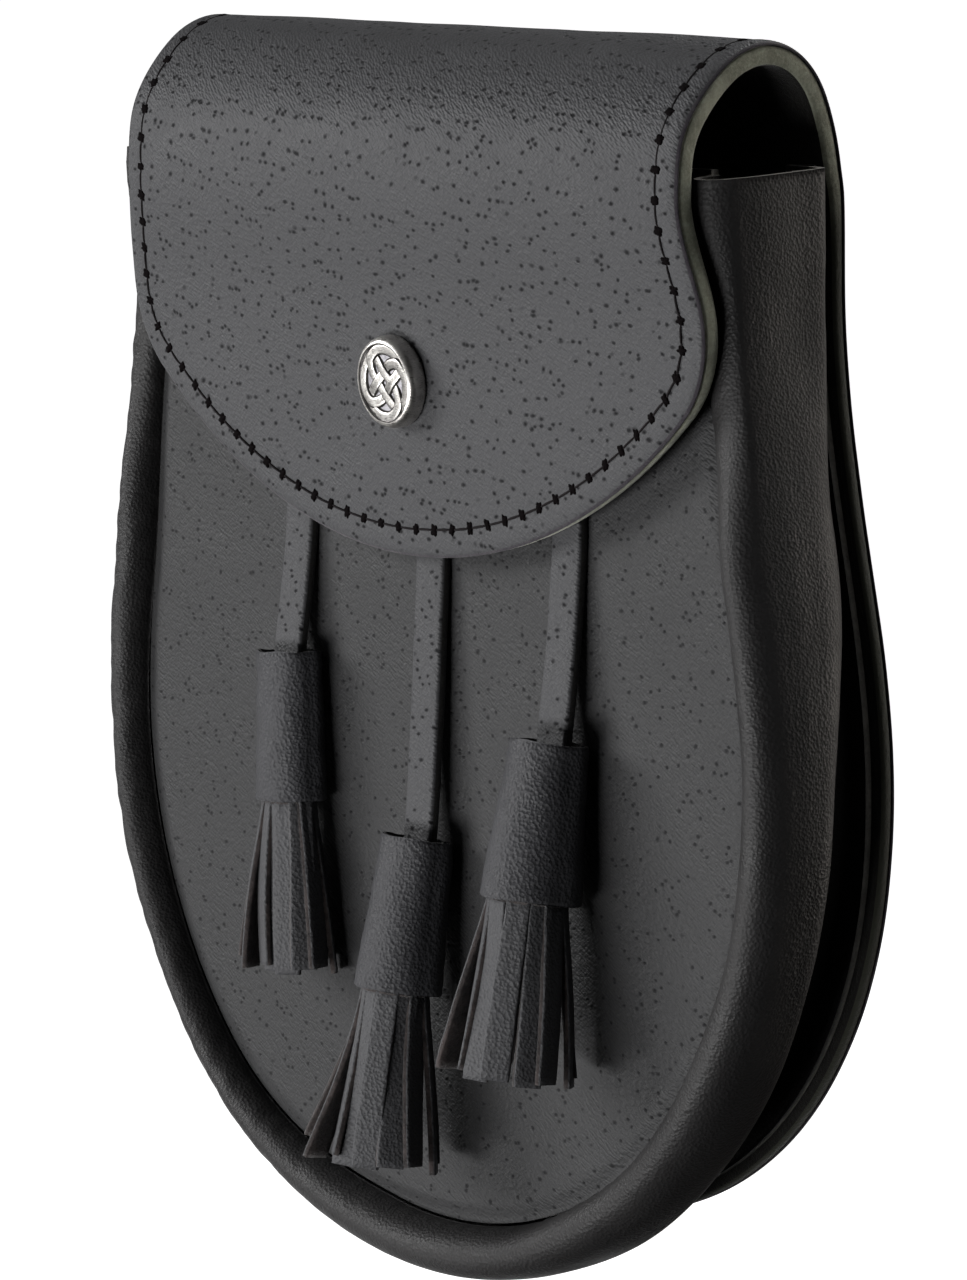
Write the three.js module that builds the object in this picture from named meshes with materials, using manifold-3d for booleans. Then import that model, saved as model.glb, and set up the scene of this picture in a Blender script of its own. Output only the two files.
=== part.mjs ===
// A leather sporran pouch: a pouch with a fold-over flap, a rolled rim, a press stud and three tassels.
// Millimetres. X runs across the pouch, +Y points to its back and +Z up. The origin lies on the rear face
// of the back, midway between the two belt loops that the pouch hangs by.
import * as THREE from "three";
import Module from "manifold-3d";
import { mergeVertices } from "three/addons/utils/BufferGeometryUtils.js";

const wasm = await Module();
wasm.setup();

// Leather thicknesses, and the gap that neighbouring pieces keep
const FACE_THICK = 1.2;
const LINING_THICK = 1.5;
const PANEL_THICK = 1.4;
const GUSSET_THICK = 1.2;
const GAP = 0.3;
const BACK_THICK = FACE_THICK + GAP + LINING_THICK;

// Outline of the back: half widths, heights of neck and belly, the drop from belly to bottom,
// and how square the bowl is, 2 for a true ellipse
const BACK = { neckHalf: 71.5, bellyHalf: 83.3, neckZ: -2, bellyZ: -82, drop: 77, square: 2.2 };

// Outline of the front seam, where the front panel meets the rolled rim
const SEAM = { neckHalf: 66.5, bellyHalf: 78.4, neckZ: 0, bellyZ: -80, drop: 78.4, square: 2 };

const MOUTH_Z = 15.5; // top edge of the panel and the gusset
const PANEL_DEPTH = 24.5; // from the rear face to the front of the panel at its seam
const RIM_PROUD = 5.8; // how far the rolled rim stands in front of the panel
const RIM_PROUD_NECK = 2.4; // the same under the flap, which presses it flat
const RIM_REACH = 25; // height above the flap's tip over which the rim flattens
const NECK_START = 10; // height above the flap's tip where the gusset starts to take its neck section
const NECK_REACH = 30; // height over which it takes that section
const RIM_OUT = 9.2; // from the seam to the outside of the gusset
const PANEL_CURL = 1.2; // how far the panel's edge turns in at the seam
const PANEL_CURL_REACH = 4;

// Fold over the top, and the flap
const FOLD_TOP_Z = 35;
const FOLD_DEPTH = 34.8; // from the rear face to the flap's waist, at its edge
const FOLD_START_Z = 6; // where the back starts to curve forward
const FLAP_CROWN = 1.6; // how far the middle of the flap stands in front of its edges
const FOLD_LIFT = 2; // how much higher the fold stands at its left end
const FLAP = { half: 74.3, tipZ: -48.7, cornerRadius: 19, tipRadius: 101, waistZ: 12 };

// Press stud
const STUD_Z = -20.3;
const STUD_RADIUS = 7.5;
const STUD_HEIGHT = 3.4;
const SHANK_RADIUS = 2;
const SNAP_RADIUS = 5.5;
const KNOT_WIDTH = 1.25;
const KNOT_RAISE = 0.32;

// Tassels
const STRAP_WIDTH = 7;
const STRAP_THICK = 1.8;
const STRAP_TOP_Z = -38;
const COLLAR_LENGTH = 25;
const COLLAR_WALL = 1.1;
const COLLAR_CLEAR = 0.2;
const FRINGE_LENGTH = 28.5;
const FRINGE_STRIPS = 9;
const FRINGE_THICK = 1.2;
const HEAD_LENGTH = 14;
// Place of the collar's top, half sizes of the oval collar, across and deep, at its top and at its end, and
// how far the fringe flares beyond the collar's end
const LEFT_TASSEL = {
  across: -34.6, topZ: -67.7, topHalf: 6.1, topDeep: 4.2, endHalf: 6.5, endDeep: 5, flare: 3.4,
};
const MIDDLE_TASSEL = {
  across: 0.8, topZ: -94.6, topHalf: 6.4, topDeep: 4.7, endHalf: 7.2, endDeep: 6.6, flare: 4.6,
};
const RIGHT_TASSEL = {
  across: 35.4, topZ: -74.8, topHalf: 6.6, topDeep: 5.2, endHalf: 7.7, endDeep: 7.7, flare: 3,
};
// Degrees of forward lean and of sideways tilt, and the turn of the strips
const TASSEL_LEANS = {
  left: { lean: 2.2, tilt: 4, turn: 0.25 },
  middle: { lean: 9.5, tilt: 0, turn: 0 },
  right: { lean: 9, tilt: 0, turn: 0.5 },
};
const TASSELS = [
  { name: "left", ...LEFT_TASSEL },
  { name: "middle", ...MIDDLE_TASSEL },
  { name: "right", ...RIGHT_TASSEL },
];

// Belt loops on the back
const LOOP = { across: 34, width: 18, height: 50, thick: 2.4, gap: 6, seat: 9 };

const grained = new THREE.MeshStandardMaterial({ color: 0x1c1c1f, roughness: 0.62, metalness: 0 });
const split = new THREE.MeshStandardMaterial({ color: 0x26271c, roughness: 0.95, metalness: 0 });
const smooth = new THREE.MeshStandardMaterial({ color: 0x121213, roughness: 0.42, metalness: 0 });
const silver = new THREE.MeshStandardMaterial({ color: 0xb9b6b0, roughness: 0.32, metalness: 1 });

const mix = (a, b, t) => a + (b - a) * t;
const clamp01 = (t) => Math.min(1, Math.max(0, t));
const ease = (t) => clamp01(t) ** 2 * (3 - 2 * clamp01(t));
const steps = (count) => Array.from({ length: count + 1 }, (_, i) => i / count);

// Solids from grids, and booleans

// A closed solid between two equal grids of points: front[i][j], whose faces look out, and back[i][j].
function wall(front, back) {
  const rows = front.length;
  const columns = front[0].length;
  const positions = [];
  const same = (a, b) => a.distanceToSquared(b) < 1e-8;
  const triangle = (a, b, c) => {
    if (!same(a, b) && !same(b, c) && !same(c, a)) positions.push(a, b, c);
  };
  const quad = (a, b, c, d) => {
    triangle(a, b, c);
    triangle(a, c, d);
  };
  for (let i = 0; i + 1 < rows; i++)
    for (let j = 0; j + 1 < columns; j++) {
      quad(front[i][j], front[i + 1][j], front[i + 1][j + 1], front[i][j + 1]);
      quad(back[i][j], back[i][j + 1], back[i + 1][j + 1], back[i + 1][j]);
    }
  for (let i = 0; i + 1 < rows; i++) {
    const last = columns - 1;
    quad(front[i][0], back[i][0], back[i + 1][0], front[i + 1][0]);
    quad(front[i][last], front[i + 1][last], back[i + 1][last], back[i][last]);
  }
  for (let j = 0; j + 1 < columns; j++) {
    const last = rows - 1;
    quad(front[0][j], front[0][j + 1], back[0][j + 1], back[0][j]);
    quad(front[last][j], back[last][j], back[last][j + 1], front[last][j + 1]);
  }
  return new THREE.BufferGeometry().setFromPoints(positions);
}

function toSolid(geometry) {
  const bare = geometry.index ? geometry.toNonIndexed() : geometry.clone();
  bare.deleteAttribute("normal");
  bare.deleteAttribute("uv");
  const merged = mergeVertices(bare, 1e-4);
  const vertProperties = merged.attributes.position.array;
  const triVerts = new Uint32Array(merged.index.array);
  const solid = new wasm.Manifold(new wasm.Mesh({ numProp: 3, vertProperties, triVerts }));
  return solid.volume() < 0 ? toSolid(flipped(bare)) : solid;
}

function flipped(geometry) {
  const p = geometry.getAttribute("position").array.slice();
  for (let i = 0; i < p.length; i += 9)
    for (let k = 0; k < 3; k++) [p[i + 3 + k], p[i + 6 + k]] = [p[i + 6 + k], p[i + 3 + k]];
  return new THREE.BufferGeometry().setAttribute("position", new THREE.BufferAttribute(p, 3));
}

function toGeometry(solid) {
  const mesh = solid.getMesh();
  const positions = new Float32Array(mesh.numVert * 3);
  for (let i = 0; i < mesh.numVert; i++)
    positions.set(mesh.vertProperties.subarray(i * mesh.numProp, i * mesh.numProp + 3), i * 3);
  return new THREE.BufferGeometry()
    .setAttribute("position", new THREE.BufferAttribute(positions, 3))
    .setIndex(new THREE.BufferAttribute(mesh.triVerts, 1));
}

// A lathe whose axis is turned to point along -Y, with its foot at the origin.
function turned(profile, sides) {
  const points = profile.map(([radius, along]) => new THREE.Vector2(radius, along));
  return new THREE.LatheGeometry(points, sides).rotateX(Math.PI);
}

// Outlines of the pouch

// Half width of an outline at height z, between its neck and its belly.
function halfWidth(outline, z) {
  if (z >= outline.neckZ) return outline.neckHalf;
  if (z >= outline.bellyZ) {
    const t = (z - outline.bellyZ) / (outline.neckZ - outline.bellyZ);
    return mix(outline.neckHalf, outline.bellyHalf, (1 + Math.cos(Math.PI * t)) / 2);
  }
  const t = Math.min(1, (outline.bellyZ - z) / outline.drop);
  return outline.bellyHalf * (1 - t ** outline.square) ** (1 / outline.square);
}

// The right half of an outline as points and outward normals, from the mouth down to the bottom.
const NECK_STEPS = 3;
const SHOULDER_STEPS = 7;
const BOWL_STEPS = 12;
function halfOutline(outline) {
  const heights = [
    ...steps(NECK_STEPS).map((t) => mix(MOUTH_Z, outline.neckZ, t)),
    ...steps(SHOULDER_STEPS).slice(1).map((t) => mix(outline.neckZ, outline.bellyZ, t)),
  ];
  const points = heights.map((z) => new THREE.Vector2(halfWidth(outline, z), z));
  for (const t of steps(BOWL_STEPS).slice(1)) {
    const angle = (t * Math.PI) / 2;
    const power = 2 / outline.square;
    const across = t === 1 ? 0 : outline.bellyHalf * Math.cos(angle) ** power;
    points.push(new THREE.Vector2(across, outline.bellyZ - outline.drop * Math.sin(angle) ** power));
  }
  return points.map((point, i) => {
    const before = points[Math.max(0, i - 1)];
    const after = points[Math.min(points.length - 1, i + 1)];
    const along = after.clone().sub(before);
    const normal = new THREE.Vector2(-along.y, along.x).normalize();
    if (i === 0) normal.set(1, 0);
    if (i === points.length - 1) normal.set(0, -1);
    return { point, normal };
  });
}

// How far the back's outline lies outside a point of the seam, along the seam's normal.
function reachToBack(point, normal) {
  let near = -20;
  let far = 40;
  for (let n = 0; n < 40; n++) {
    const o = (near + far) / 2;
    const x = point.x + normal.x * o;
    const z = point.y + normal.y * o;
    const inside = z > BACK.bellyZ - BACK.drop && Math.abs(x) < halfWidth(BACK, z);
    if (inside) near = o;
    else far = o;
  }
  return near;
}

// Back, fold and flap: one leather in two layers

// The rear surface of the fold from the back, over the top, to the flap's tip.
// Columns: deep is a share of FOLD_DEPTH. Above the waist, high is a share of the rise from FOLD_START_Z to
// FOLD_TOP_Z. Below it, low is a share of the drop from the waist to the flap's tip.
const FOLD_ROWS = [
  { deep: 0, high: 0 },
  { deep: 0.02, high: 0.3 },
  { deep: 0.07, high: 0.56 },
  { deep: 0.16, high: 0.8 },
  { deep: 0.3, high: 0.95 },
  { deep: 0.48, high: 1 },
  { deep: 0.66, high: 0.94 },
  { deep: 0.81, high: 0.8 },
  { deep: 0.93, high: 0.62 },
  { deep: 0.99, high: 0.43 },
];
const FLAP_ROWS = [
  { deep: 1, low: 0.03 },
  { deep: 0.97, low: 0.16 },
  { deep: 0.925, low: 0.3 },
  { deep: 0.892, low: 0.48 },
  { deep: 0.874, low: 0.62 },
  { deep: 0.852, low: 0.8 },
  { deep: 0.834, low: 1 },
];

const foldPoint = (deep, z) => new THREE.Vector2(-deep * FOLD_DEPTH, z);
const foldCurve = new THREE.SplineCurve([
  new THREE.Vector2(0, BACK.bellyZ - BACK.drop),
  new THREE.Vector2(0, BACK.bellyZ),
  new THREE.Vector2(0, (BACK.bellyZ + FOLD_START_Z) / 2),
  ...FOLD_ROWS.map(({ deep, high }) => foldPoint(deep, mix(FOLD_START_Z, FOLD_TOP_Z, high))),
  ...FLAP_ROWS.map(({ deep, low }) => foldPoint(deep, mix(FLAP.waistZ, FLAP.tipZ, low))),
]);
const FOLD_SAMPLES = 900;
const foldPoints = steps(FOLD_SAMPLES).map((t) => foldCurve.getPoint(t));
for (const p of foldPoints) p.x = Math.min(0, p.x); // the back lies flat
const apex = foldPoints.reduce((best, p, i) => (p.y > foldPoints[best].y ? i : best), 0);

// Place along the fold at height z, as a sample number with its fraction, on the back or the flap's side.
function foldIndex(z, onFlap) {
  const from = onFlap ? apex : 0;
  const to = onFlap ? FOLD_SAMPLES : apex;
  for (let i = from; i < to; i++) {
    const [a, b] = [foldPoints[i].y, foldPoints[i + 1].y];
    if ((a - z) * (b - z) <= 0 && a !== b) return i + (z - a) / (b - a);
  }
  return to;
}

function foldAt(index) {
  const i = Math.min(FOLD_SAMPLES - 1, Math.floor(index));
  return foldPoints[i].clone().lerp(foldPoints[i + 1], index - i);
}

// Half width of the flap at height z: a wide arc at the tip, round corners, and a narrower waist.
function flapHalf(z) {
  const { half, tipZ, cornerRadius, tipRadius, waistZ } = FLAP;
  const arcZ = tipZ + tipRadius;
  const inner = tipRadius - cornerRadius;
  const cornerX = half - cornerRadius;
  const cornerZ = arcZ - Math.sqrt(inner * inner - cornerX * cornerX);
  const meetZ = arcZ - ((arcZ - cornerZ) * tipRadius) / inner;
  if (z <= meetZ) return Math.sqrt(Math.max(0, tipRadius ** 2 - (arcZ - z) ** 2));
  if (z <= cornerZ) return cornerX + Math.sqrt(cornerRadius ** 2 - (cornerZ - z) ** 2);
  return mix(half, BACK.neckHalf, ease((z - cornerZ) / (waistZ - cornerZ)));
}

// Rows of the leather from the back's bottom to the flap's tip, each with its fold sample and half width.
const TIP_STEPS = 9;
const CORNER_STEPS = 6;
const ARCH_STEPS = 16;
function leatherRows() {
  const rows = [];
  const back = halfOutline(BACK).map(({ point }) => point).reverse();
  for (const p of back) if (p.y < FOLD_START_Z) rows.push({ index: foldIndex(p.y, false), half: p.x });
  const first = foldIndex(FOLD_START_Z, false);
  const last = foldIndex(FLAP.waistZ, true);
  for (const t of steps(ARCH_STEPS)) rows.push({ index: mix(first, last, t), half: BACK.neckHalf });
  const arcZ = FLAP.tipZ + FLAP.tipRadius;
  const inner = FLAP.tipRadius - FLAP.cornerRadius;
  const cornerX = FLAP.half - FLAP.cornerRadius;
  const tipAngle = Math.asin(cornerX / inner);
  const cornerZ = arcZ - inner * Math.cos(tipAngle);
  const heights = [mix(FLAP.waistZ, cornerZ, 0.5)];
  for (const t of steps(CORNER_STEPS)) {
    const angle = mix(0, Math.PI / 2 - tipAngle, t);
    heights.push(cornerZ - FLAP.cornerRadius * Math.sin(angle));
  }
  for (const t of steps(TIP_STEPS).slice(1)) {
    heights.push(arcZ - FLAP.tipRadius * Math.cos(mix(tipAngle, 0, t)));
  }
  for (const z of heights) rows.push({ index: foldIndex(z, true), half: flapHalf(z) });
  rows[rows.length - 1].half = 0;
  rows[0].half = 0;
  return rows;
}

// A point of the fold at sample index, across share u, sunk below the outer surface.
const LEATHER_COLUMNS = 5;
function leatherPoint(index, half, u, sunk) {
  const along = foldAt(Math.min(FOLD_SAMPLES, index + 1)).sub(foldAt(Math.max(0, index - 1))).normalize();
  const inward = new THREE.Vector2(-along.y, along.x);
  const at = foldAt(index).addScaledVector(inward, sunk);
  const forward = clamp01(-foldAt(index).x / FOLD_DEPTH) ** 2;
  const across = half * u;
  const crown = FLAP_CROWN * forward * (1 - (across / FLAP.half) ** 2);
  const lift = FOLD_LIFT * ((1 - u) / 2) * clamp01((at.y - FOLD_START_Z) / (FOLD_TOP_Z - FOLD_START_Z));
  return new THREE.Vector3(across, at.x - crown, at.y + lift);
}

function leatherLayer(sunk, thick) {
  const rows = leatherRows();
  const us = steps(LEATHER_COLUMNS).map((t) => 2 * t - 1);
  const outer = rows.map(({ index, half }) => us.map((u) => leatherPoint(index, half, u, sunk)));
  const inner = rows.map(({ index, half }) => us.map((u) => leatherPoint(index, half, u, sunk + thick)));
  const solid = toSolid(wall(outer, inner));
  const hole = new THREE.CylinderGeometry(SHANK_RADIUS + GAP, SHANK_RADIUS + GAP, FOLD_DEPTH / 2, 16)
    .translate(0, -FOLD_DEPTH, STUD_Z);
  return toGeometry(solid.subtract(toSolid(hole)));
}

// Outer surface of the flap at the stud, and how far it slopes there
const studSample = foldAt(foldIndex(STUD_Z, true));
const STUD_SEAT = studSample.x - FLAP_CROWN * clamp01(-studSample.x / FOLD_DEPTH) ** 2;
const studAbove = foldAt(foldIndex(STUD_Z + STUD_RADIUS, true));
const studBelow = foldAt(foldIndex(STUD_Z - STUD_RADIUS, true));
const STUD_TILT = Math.atan2(studBelow.x - studAbove.x, STUD_RADIUS * 2);

// Front panel

// How far a point of the panel lies inside the seam.
function insideSeam(x, z) {
  const { bellyHalf, bellyZ, drop } = SEAM;
  if (z < bellyZ) return bellyHalf - Math.hypot(x, ((z - bellyZ) * bellyHalf) / drop);
  return halfWidth(SEAM, z) - Math.abs(x);
}

const PANEL_SHARES = [-1, -0.94, -0.6, -0.2, 0.2, 0.6, 0.94, 1];
function frontPanel() {
  const rows = halfOutline(SEAM).map(({ point }) => point);
  const layer = (sunk) =>
    rows.map(({ x: half, y: z }) =>
      PANEL_SHARES.map((u) => {
        const x = u * half;
        const curl = PANEL_CURL * (1 - ease(insideSeam(x, z) / PANEL_CURL_REACH));
        return new THREE.Vector3(x, -PANEL_DEPTH + curl + sunk, z);
      }),
    );
  return wall(layer(0), layer(PANEL_THICK));
}

// Gusset: rolled rim, side, inward fold and flange, swept round the seam

// The grain side of the gusset's section, from the front seam to the flange's root.
// Columns: out is a share of RIM_OUT from the seam. proud is a share of the rim's height above the panel,
// and back is a share of PANEL_DEPTH from the panel towards the rear face.
const SECTION_ROWS = [
  { out: 0.05, proud: 0, back: 0.07 },
  { out: 0.06, proud: 0.2, back: 0 },
  { out: 0.18, proud: 0.68, back: 0 },
  { out: 0.37, proud: 0.95, back: 0 },
  { out: 0.58, proud: 1, back: 0 },
  { out: 0.79, proud: 0.8, back: 0 },
  { out: 0.94, proud: 0.35, back: 0 },
  { out: 1, proud: 0, back: 0.1 },
  { out: 1, proud: 0, back: 0.28 },
  { out: 0.97, proud: 0, back: 0.45 },
];

// The inward fold behind the widest line. Columns: out and back as above, at the belly and at the neck,
// where the gusset is full and the fold is pressed shut.
const FOLD_IN_ROWS = [
  { out: 0.86, back: 0.57, neckOut: 0.93, neckBack: 0.66 },
  { out: 0.62, back: 0.645, neckOut: 0.82, neckBack: 0.715 },
  { out: 0.3, back: 0.69, neckOut: 0.52, neckBack: 0.735 },
  { out: 0.03, back: 0.71, neckOut: 0.2, neckBack: 0.745 },
  { out: -0.19, back: 0.72, neckOut: -0.02, neckBack: 0.75 },
];
const FLANGE_INSET = 2; // from the back's edge to the flange's edge
const FLANGE_ROOT_OUT = -0.3; // share of RIM_OUT at the bottom of the groove

function gussetSection(point, normal) {
  const neck = ease((point.y - FLAP.tipZ - NECK_START) / NECK_REACH);
  const proudest = mix(RIM_PROUD, RIM_PROUD_NECK, ease((point.y - FLAP.tipZ) / RIM_REACH));
  const grain = SECTION_ROWS.map(({ out, proud, back }) => [
    out * RIM_OUT,
    -PANEL_DEPTH - proud * proudest + back * PANEL_DEPTH,
  ]);
  for (const row of FOLD_IN_ROWS)
    grain.push([
      mix(row.out, row.neckOut, neck) * RIM_OUT,
      -PANEL_DEPTH + mix(row.back, row.neckBack, neck) * PANEL_DEPTH,
    ]);
  const rear = point.y > FOLD_START_Z ? foldAt(foldIndex(point.y, false)).x : 0;
  const flangeY = rear - BACK_THICK - GAP - GUSSET_THICK;
  const rootOut = mix(FLANGE_ROOT_OUT, FLANGE_ROOT_OUT / 2, neck) * RIM_OUT;
  const [lastOut, lastY] = grain[grain.length - 1];
  grain.push([rootOut, (lastY + flangeY) / 2]);
  grain.push([lastOut, flangeY]);
  grain.push([Math.max(lastOut + 1, reachToBack(point, normal) - FLANGE_INSET), flangeY]);
  return grain;
}

// The flesh side: the grain side moved in by the leather's thickness along mitred normals.
function fleshSide(grain) {
  return grain.map(([out, y], i) => {
    const from = grain[Math.max(0, i - 1)];
    const to = grain[Math.min(grain.length - 1, i + 1)];
    const here = new THREE.Vector2(out, y);
    const before = new THREE.Vector2(out - from[0], y - from[1]).normalize();
    const after = new THREE.Vector2(to[0] - out, to[1] - y).normalize();
    const along = before.clone().add(after).normalize();
    const half = Math.sqrt(Math.max(0.3, (1 + before.dot(after)) / 2));
    const reach = i === 0 || i === grain.length - 1 ? GUSSET_THICK : GUSSET_THICK / half;
    return [here.x - along.y * reach, here.y + along.x * reach];
  });
}

function gusset() {
  const right = halfOutline(SEAM);
  const left = right
    .slice(0, -1)
    .reverse()
    .map(({ point, normal }) => ({
      point: new THREE.Vector2(-point.x, point.y),
      normal: new THREE.Vector2(-normal.x, normal.y),
    }));
  const place = ({ point, normal }, [out, y]) =>
    new THREE.Vector3(point.x + normal.x * out, y, point.y + normal.y * out);
  const grain = [];
  const flesh = [];
  for (const station of [...right, ...left]) {
    const point = station.point.clone().setX(Math.abs(station.point.x));
    const normal = station.normal.clone().setX(Math.abs(station.normal.x));
    const section = gussetSection(point, normal);
    grain.push(section.map((p) => place(station, p)));
    flesh.push(fleshSide(section).map((p) => place(station, p)));
  }
  return wall(grain, flesh);
}

// Press stud with its knot

// A quarter of the knot, as shares of the field's radius; lift is 1 where the band passes over, -1 under.
const KNOT_ROWS = [
  { x: 0.2, y: 0.68, lift: -1 },
  { x: 0.2, y: 0.22, lift: 1 },
  { x: 0.2, y: -0.2, lift: -1 },
  { x: 0.17, y: -0.5, lift: 0 },
  { x: -0.06, y: -0.78, lift: 1 },
  { x: -0.5, y: -0.72, lift: 0.6 },
  { x: -0.8, y: -0.38, lift: 0 },
  { x: -0.88, y: 0.04, lift: -1 },
];
const KNOT_SAMPLES = 64;
const KNOT_SHARE = 0.8; // radius of the knot's field as a share of the stud's

function knotBand(faceRadius, faceY) {
  const quarter = (k) =>
    KNOT_ROWS.map(({ x, y, lift }) => {
      const turn = (k * Math.PI) / 2 + Math.PI / 4;
      return new THREE.Vector3(
        faceRadius * (x * Math.cos(turn) - y * Math.sin(turn)),
        lift,
        faceRadius * (x * Math.sin(turn) + y * Math.cos(turn)),
      );
    });
  const curve = new THREE.CatmullRomCurve3([0, 1, 2, 3].flatMap(quarter), true, "centripetal");
  const rings = steps(KNOT_SAMPLES).map((t) => {
    const at = curve.getPoint(t % 1);
    const along = curve.getTangent(t % 1);
    const side = new THREE.Vector3(along.z, 0, -along.x).normalize();
    const top = faceY - KNOT_RAISE * (1.25 + 0.55 * at.y);
    const base = faceY + KNOT_RAISE;
    const edge = (shift, y) => new THREE.Vector3(at.x + side.x * shift, y, at.z + side.z * shift);
    const half = KNOT_WIDTH / 2;
    return [edge(-half, base), edge(-half, top), edge(half, top), edge(half, base), edge(-half, base)];
  });
  const positions = [];
  for (let i = 0; i < KNOT_SAMPLES; i++)
    for (let j = 0; j < 4; j++) {
      const [a, b, c, d] = [rings[i][j], rings[i + 1][j], rings[i + 1][j + 1], rings[i][j + 1]];
      positions.push(a, b, c, a, c, d);
    }
  return new THREE.BufferGeometry().setFromPoints(positions);
}

function stud() {
  const shankLength = BACK_THICK + GAP;
  const r = STUD_RADIUS;
  const cap = turned(
    [
      [0, -shankLength],
      [SHANK_RADIUS, -shankLength],
      [SHANK_RADIUS, GAP],
      [r * 0.93, GAP],
      [r, GAP + STUD_HEIGHT * 0.25],
      [r, GAP + STUD_HEIGHT * 0.5],
      [r * 0.94, GAP + STUD_HEIGHT * 0.84],
      [r * 0.85, GAP + STUD_HEIGHT * 0.97],
      [r * KNOT_SHARE, GAP + STUD_HEIGHT * 0.9],
      [0, GAP + STUD_HEIGHT * 0.9],
    ],
    28,
  );
  const band = knotBand(r * KNOT_SHARE, -GAP - STUD_HEIGHT * 0.9);
  return toGeometry(toSolid(cap).add(toSolid(band))).rotateX(STUD_TILT).translate(0, STUD_SEAT, STUD_Z);
}

// The hidden half of the press fastener, between the flap's lining and the panel.
function snapPost() {
  const front = STUD_SEAT + BACK_THICK + GAP * 2;
  const length = -PANEL_DEPTH - GAP - front;
  return turned(
    [
      [0, 0],
      [SNAP_RADIUS, 0],
      [SNAP_RADIUS, length * 0.45],
      [SNAP_RADIUS * 0.6, length * 0.6],
      [SNAP_RADIUS * 0.6, length],
      [0, length],
    ],
    20,
  ).translate(0, -PANEL_DEPTH - GAP, STUD_Z);
}

// Tassels

// The collar's centre at its top: its back clears the panel.
function collarTop(tassel) {
  return new THREE.Vector3(tassel.across, -PANEL_DEPTH - GAP - COLLAR_CLEAR - tassel.topDeep, tassel.topZ);
}

// Half sizes of the collar at a distance below its top, less an inset.
function collarHalves(tassel, below, inset = 0) {
  const share = below / COLLAR_LENGTH;
  const across = mix(tassel.topHalf, tassel.endHalf, share) - inset;
  const deep = mix(tassel.topDeep, tassel.endDeep, share) - inset;
  return [across, deep];
}

// Lean of the collar that brings its deeper end clear of the panel.
function collarLean(tassel) {
  const spread = Math.atan2(tassel.endDeep - tassel.topDeep, COLLAR_LENGTH);
  return Math.max(THREE.MathUtils.degToRad(tassel.lean), spread);
}

function strap(tassel) {
  const top = collarTop(tassel);
  const [wide, deep] = collarHalves(tassel, 0, COLLAR_WALL + GAP);
  const behind = deep * Math.sqrt(Math.max(0, 1 - (STRAP_WIDTH / 2 / wide) ** 2)) - STRAP_THICK / 2;
  const insert = COLLAR_LENGTH - HEAD_LENGTH - GAP * 2;
  const lean = collarLean(tassel);
  const rest = -PANEL_DEPTH - GAP - STRAP_THICK / 2;
  const enter = top.y + behind * 0.8;
  const free = FLAP.tipZ + 2;
  const spine = [
    new THREE.Vector3(top.x, rest, STRAP_TOP_Z),
    new THREE.Vector3(top.x, rest, free),
    new THREE.Vector3(top.x, mix(rest, enter, 0.42), mix(free, top.z, 0.5)),
    new THREE.Vector3(top.x, enter, top.z),
    new THREE.Vector3(top.x, enter - Math.sin(lean) * insert, top.z - Math.cos(lean) * insert),
  ];
  const curve = new THREE.CatmullRomCurve3(spine, false, "centripetal");
  const front = [];
  const back = [];
  for (const t of steps(12)) {
    const at = curve.getPoint(t);
    const along = curve.getTangent(t);
    const out = new THREE.Vector3(0, along.z, -along.y).normalize();
    const edge = (side, depth) =>
      at.clone().addScaledVector(out, depth).add(new THREE.Vector3((side * STRAP_WIDTH) / 2, 0, 0));
    front.push([edge(-1, STRAP_THICK / 2), edge(1, STRAP_THICK / 2)]);
    back.push([edge(-1, -STRAP_THICK / 2), edge(1, -STRAP_THICK / 2)]);
  }
  return toGeometry(toSolid(wall(front, back)));
}

// A closed solid through oval rings, each [half across, half deep, height]. A tube's last ring meets its
// first; otherwise both ends are closed flat.
const COLLAR_SIDES = 20;
function oval(rings, tube) {
  const angles = steps(COLLAR_SIDES).slice(1).map((t) => 2 * Math.PI * t);
  const loops = rings.map(([a, b, z]) =>
    angles.map((angle) => new THREE.Vector3(a * Math.cos(angle), b * Math.sin(angle), z)),
  );
  const positions = [];
  const last = tube ? loops.length : loops.length - 1;
  for (let i = 0; i < last; i++)
    for (let j = 0; j < COLLAR_SIDES; j++) {
      const next = loops[(i + 1) % loops.length];
      const k = (j + 1) % COLLAR_SIDES;
      positions.push(loops[i][j], loops[i][k], next[k], loops[i][j], next[k], next[j]);
    }
  if (!tube)
    for (let j = 0; j < COLLAR_SIDES; j++) {
      const k = (j + 1) % COLLAR_SIDES;
      positions.push(new THREE.Vector3(0, 0, rings[0][2]), loops[0][k], loops[0][j]);
      positions.push(new THREE.Vector3(0, 0, rings[last][2]), loops[last][j], loops[last][k]);
    }
  return new THREE.BufferGeometry().setFromPoints(positions);
}

function collar(tassel) {
  const ring = (below, inset) => [...collarHalves(tassel, below, inset), -below];
  const outside = [ring(0, 0), ring(COLLAR_LENGTH, 0)];
  const inside = [ring(COLLAR_LENGTH, COLLAR_WALL), ring(0, COLLAR_WALL)];
  return toGeometry(toSolid(oval([...outside, ...inside], true)));
}

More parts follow.
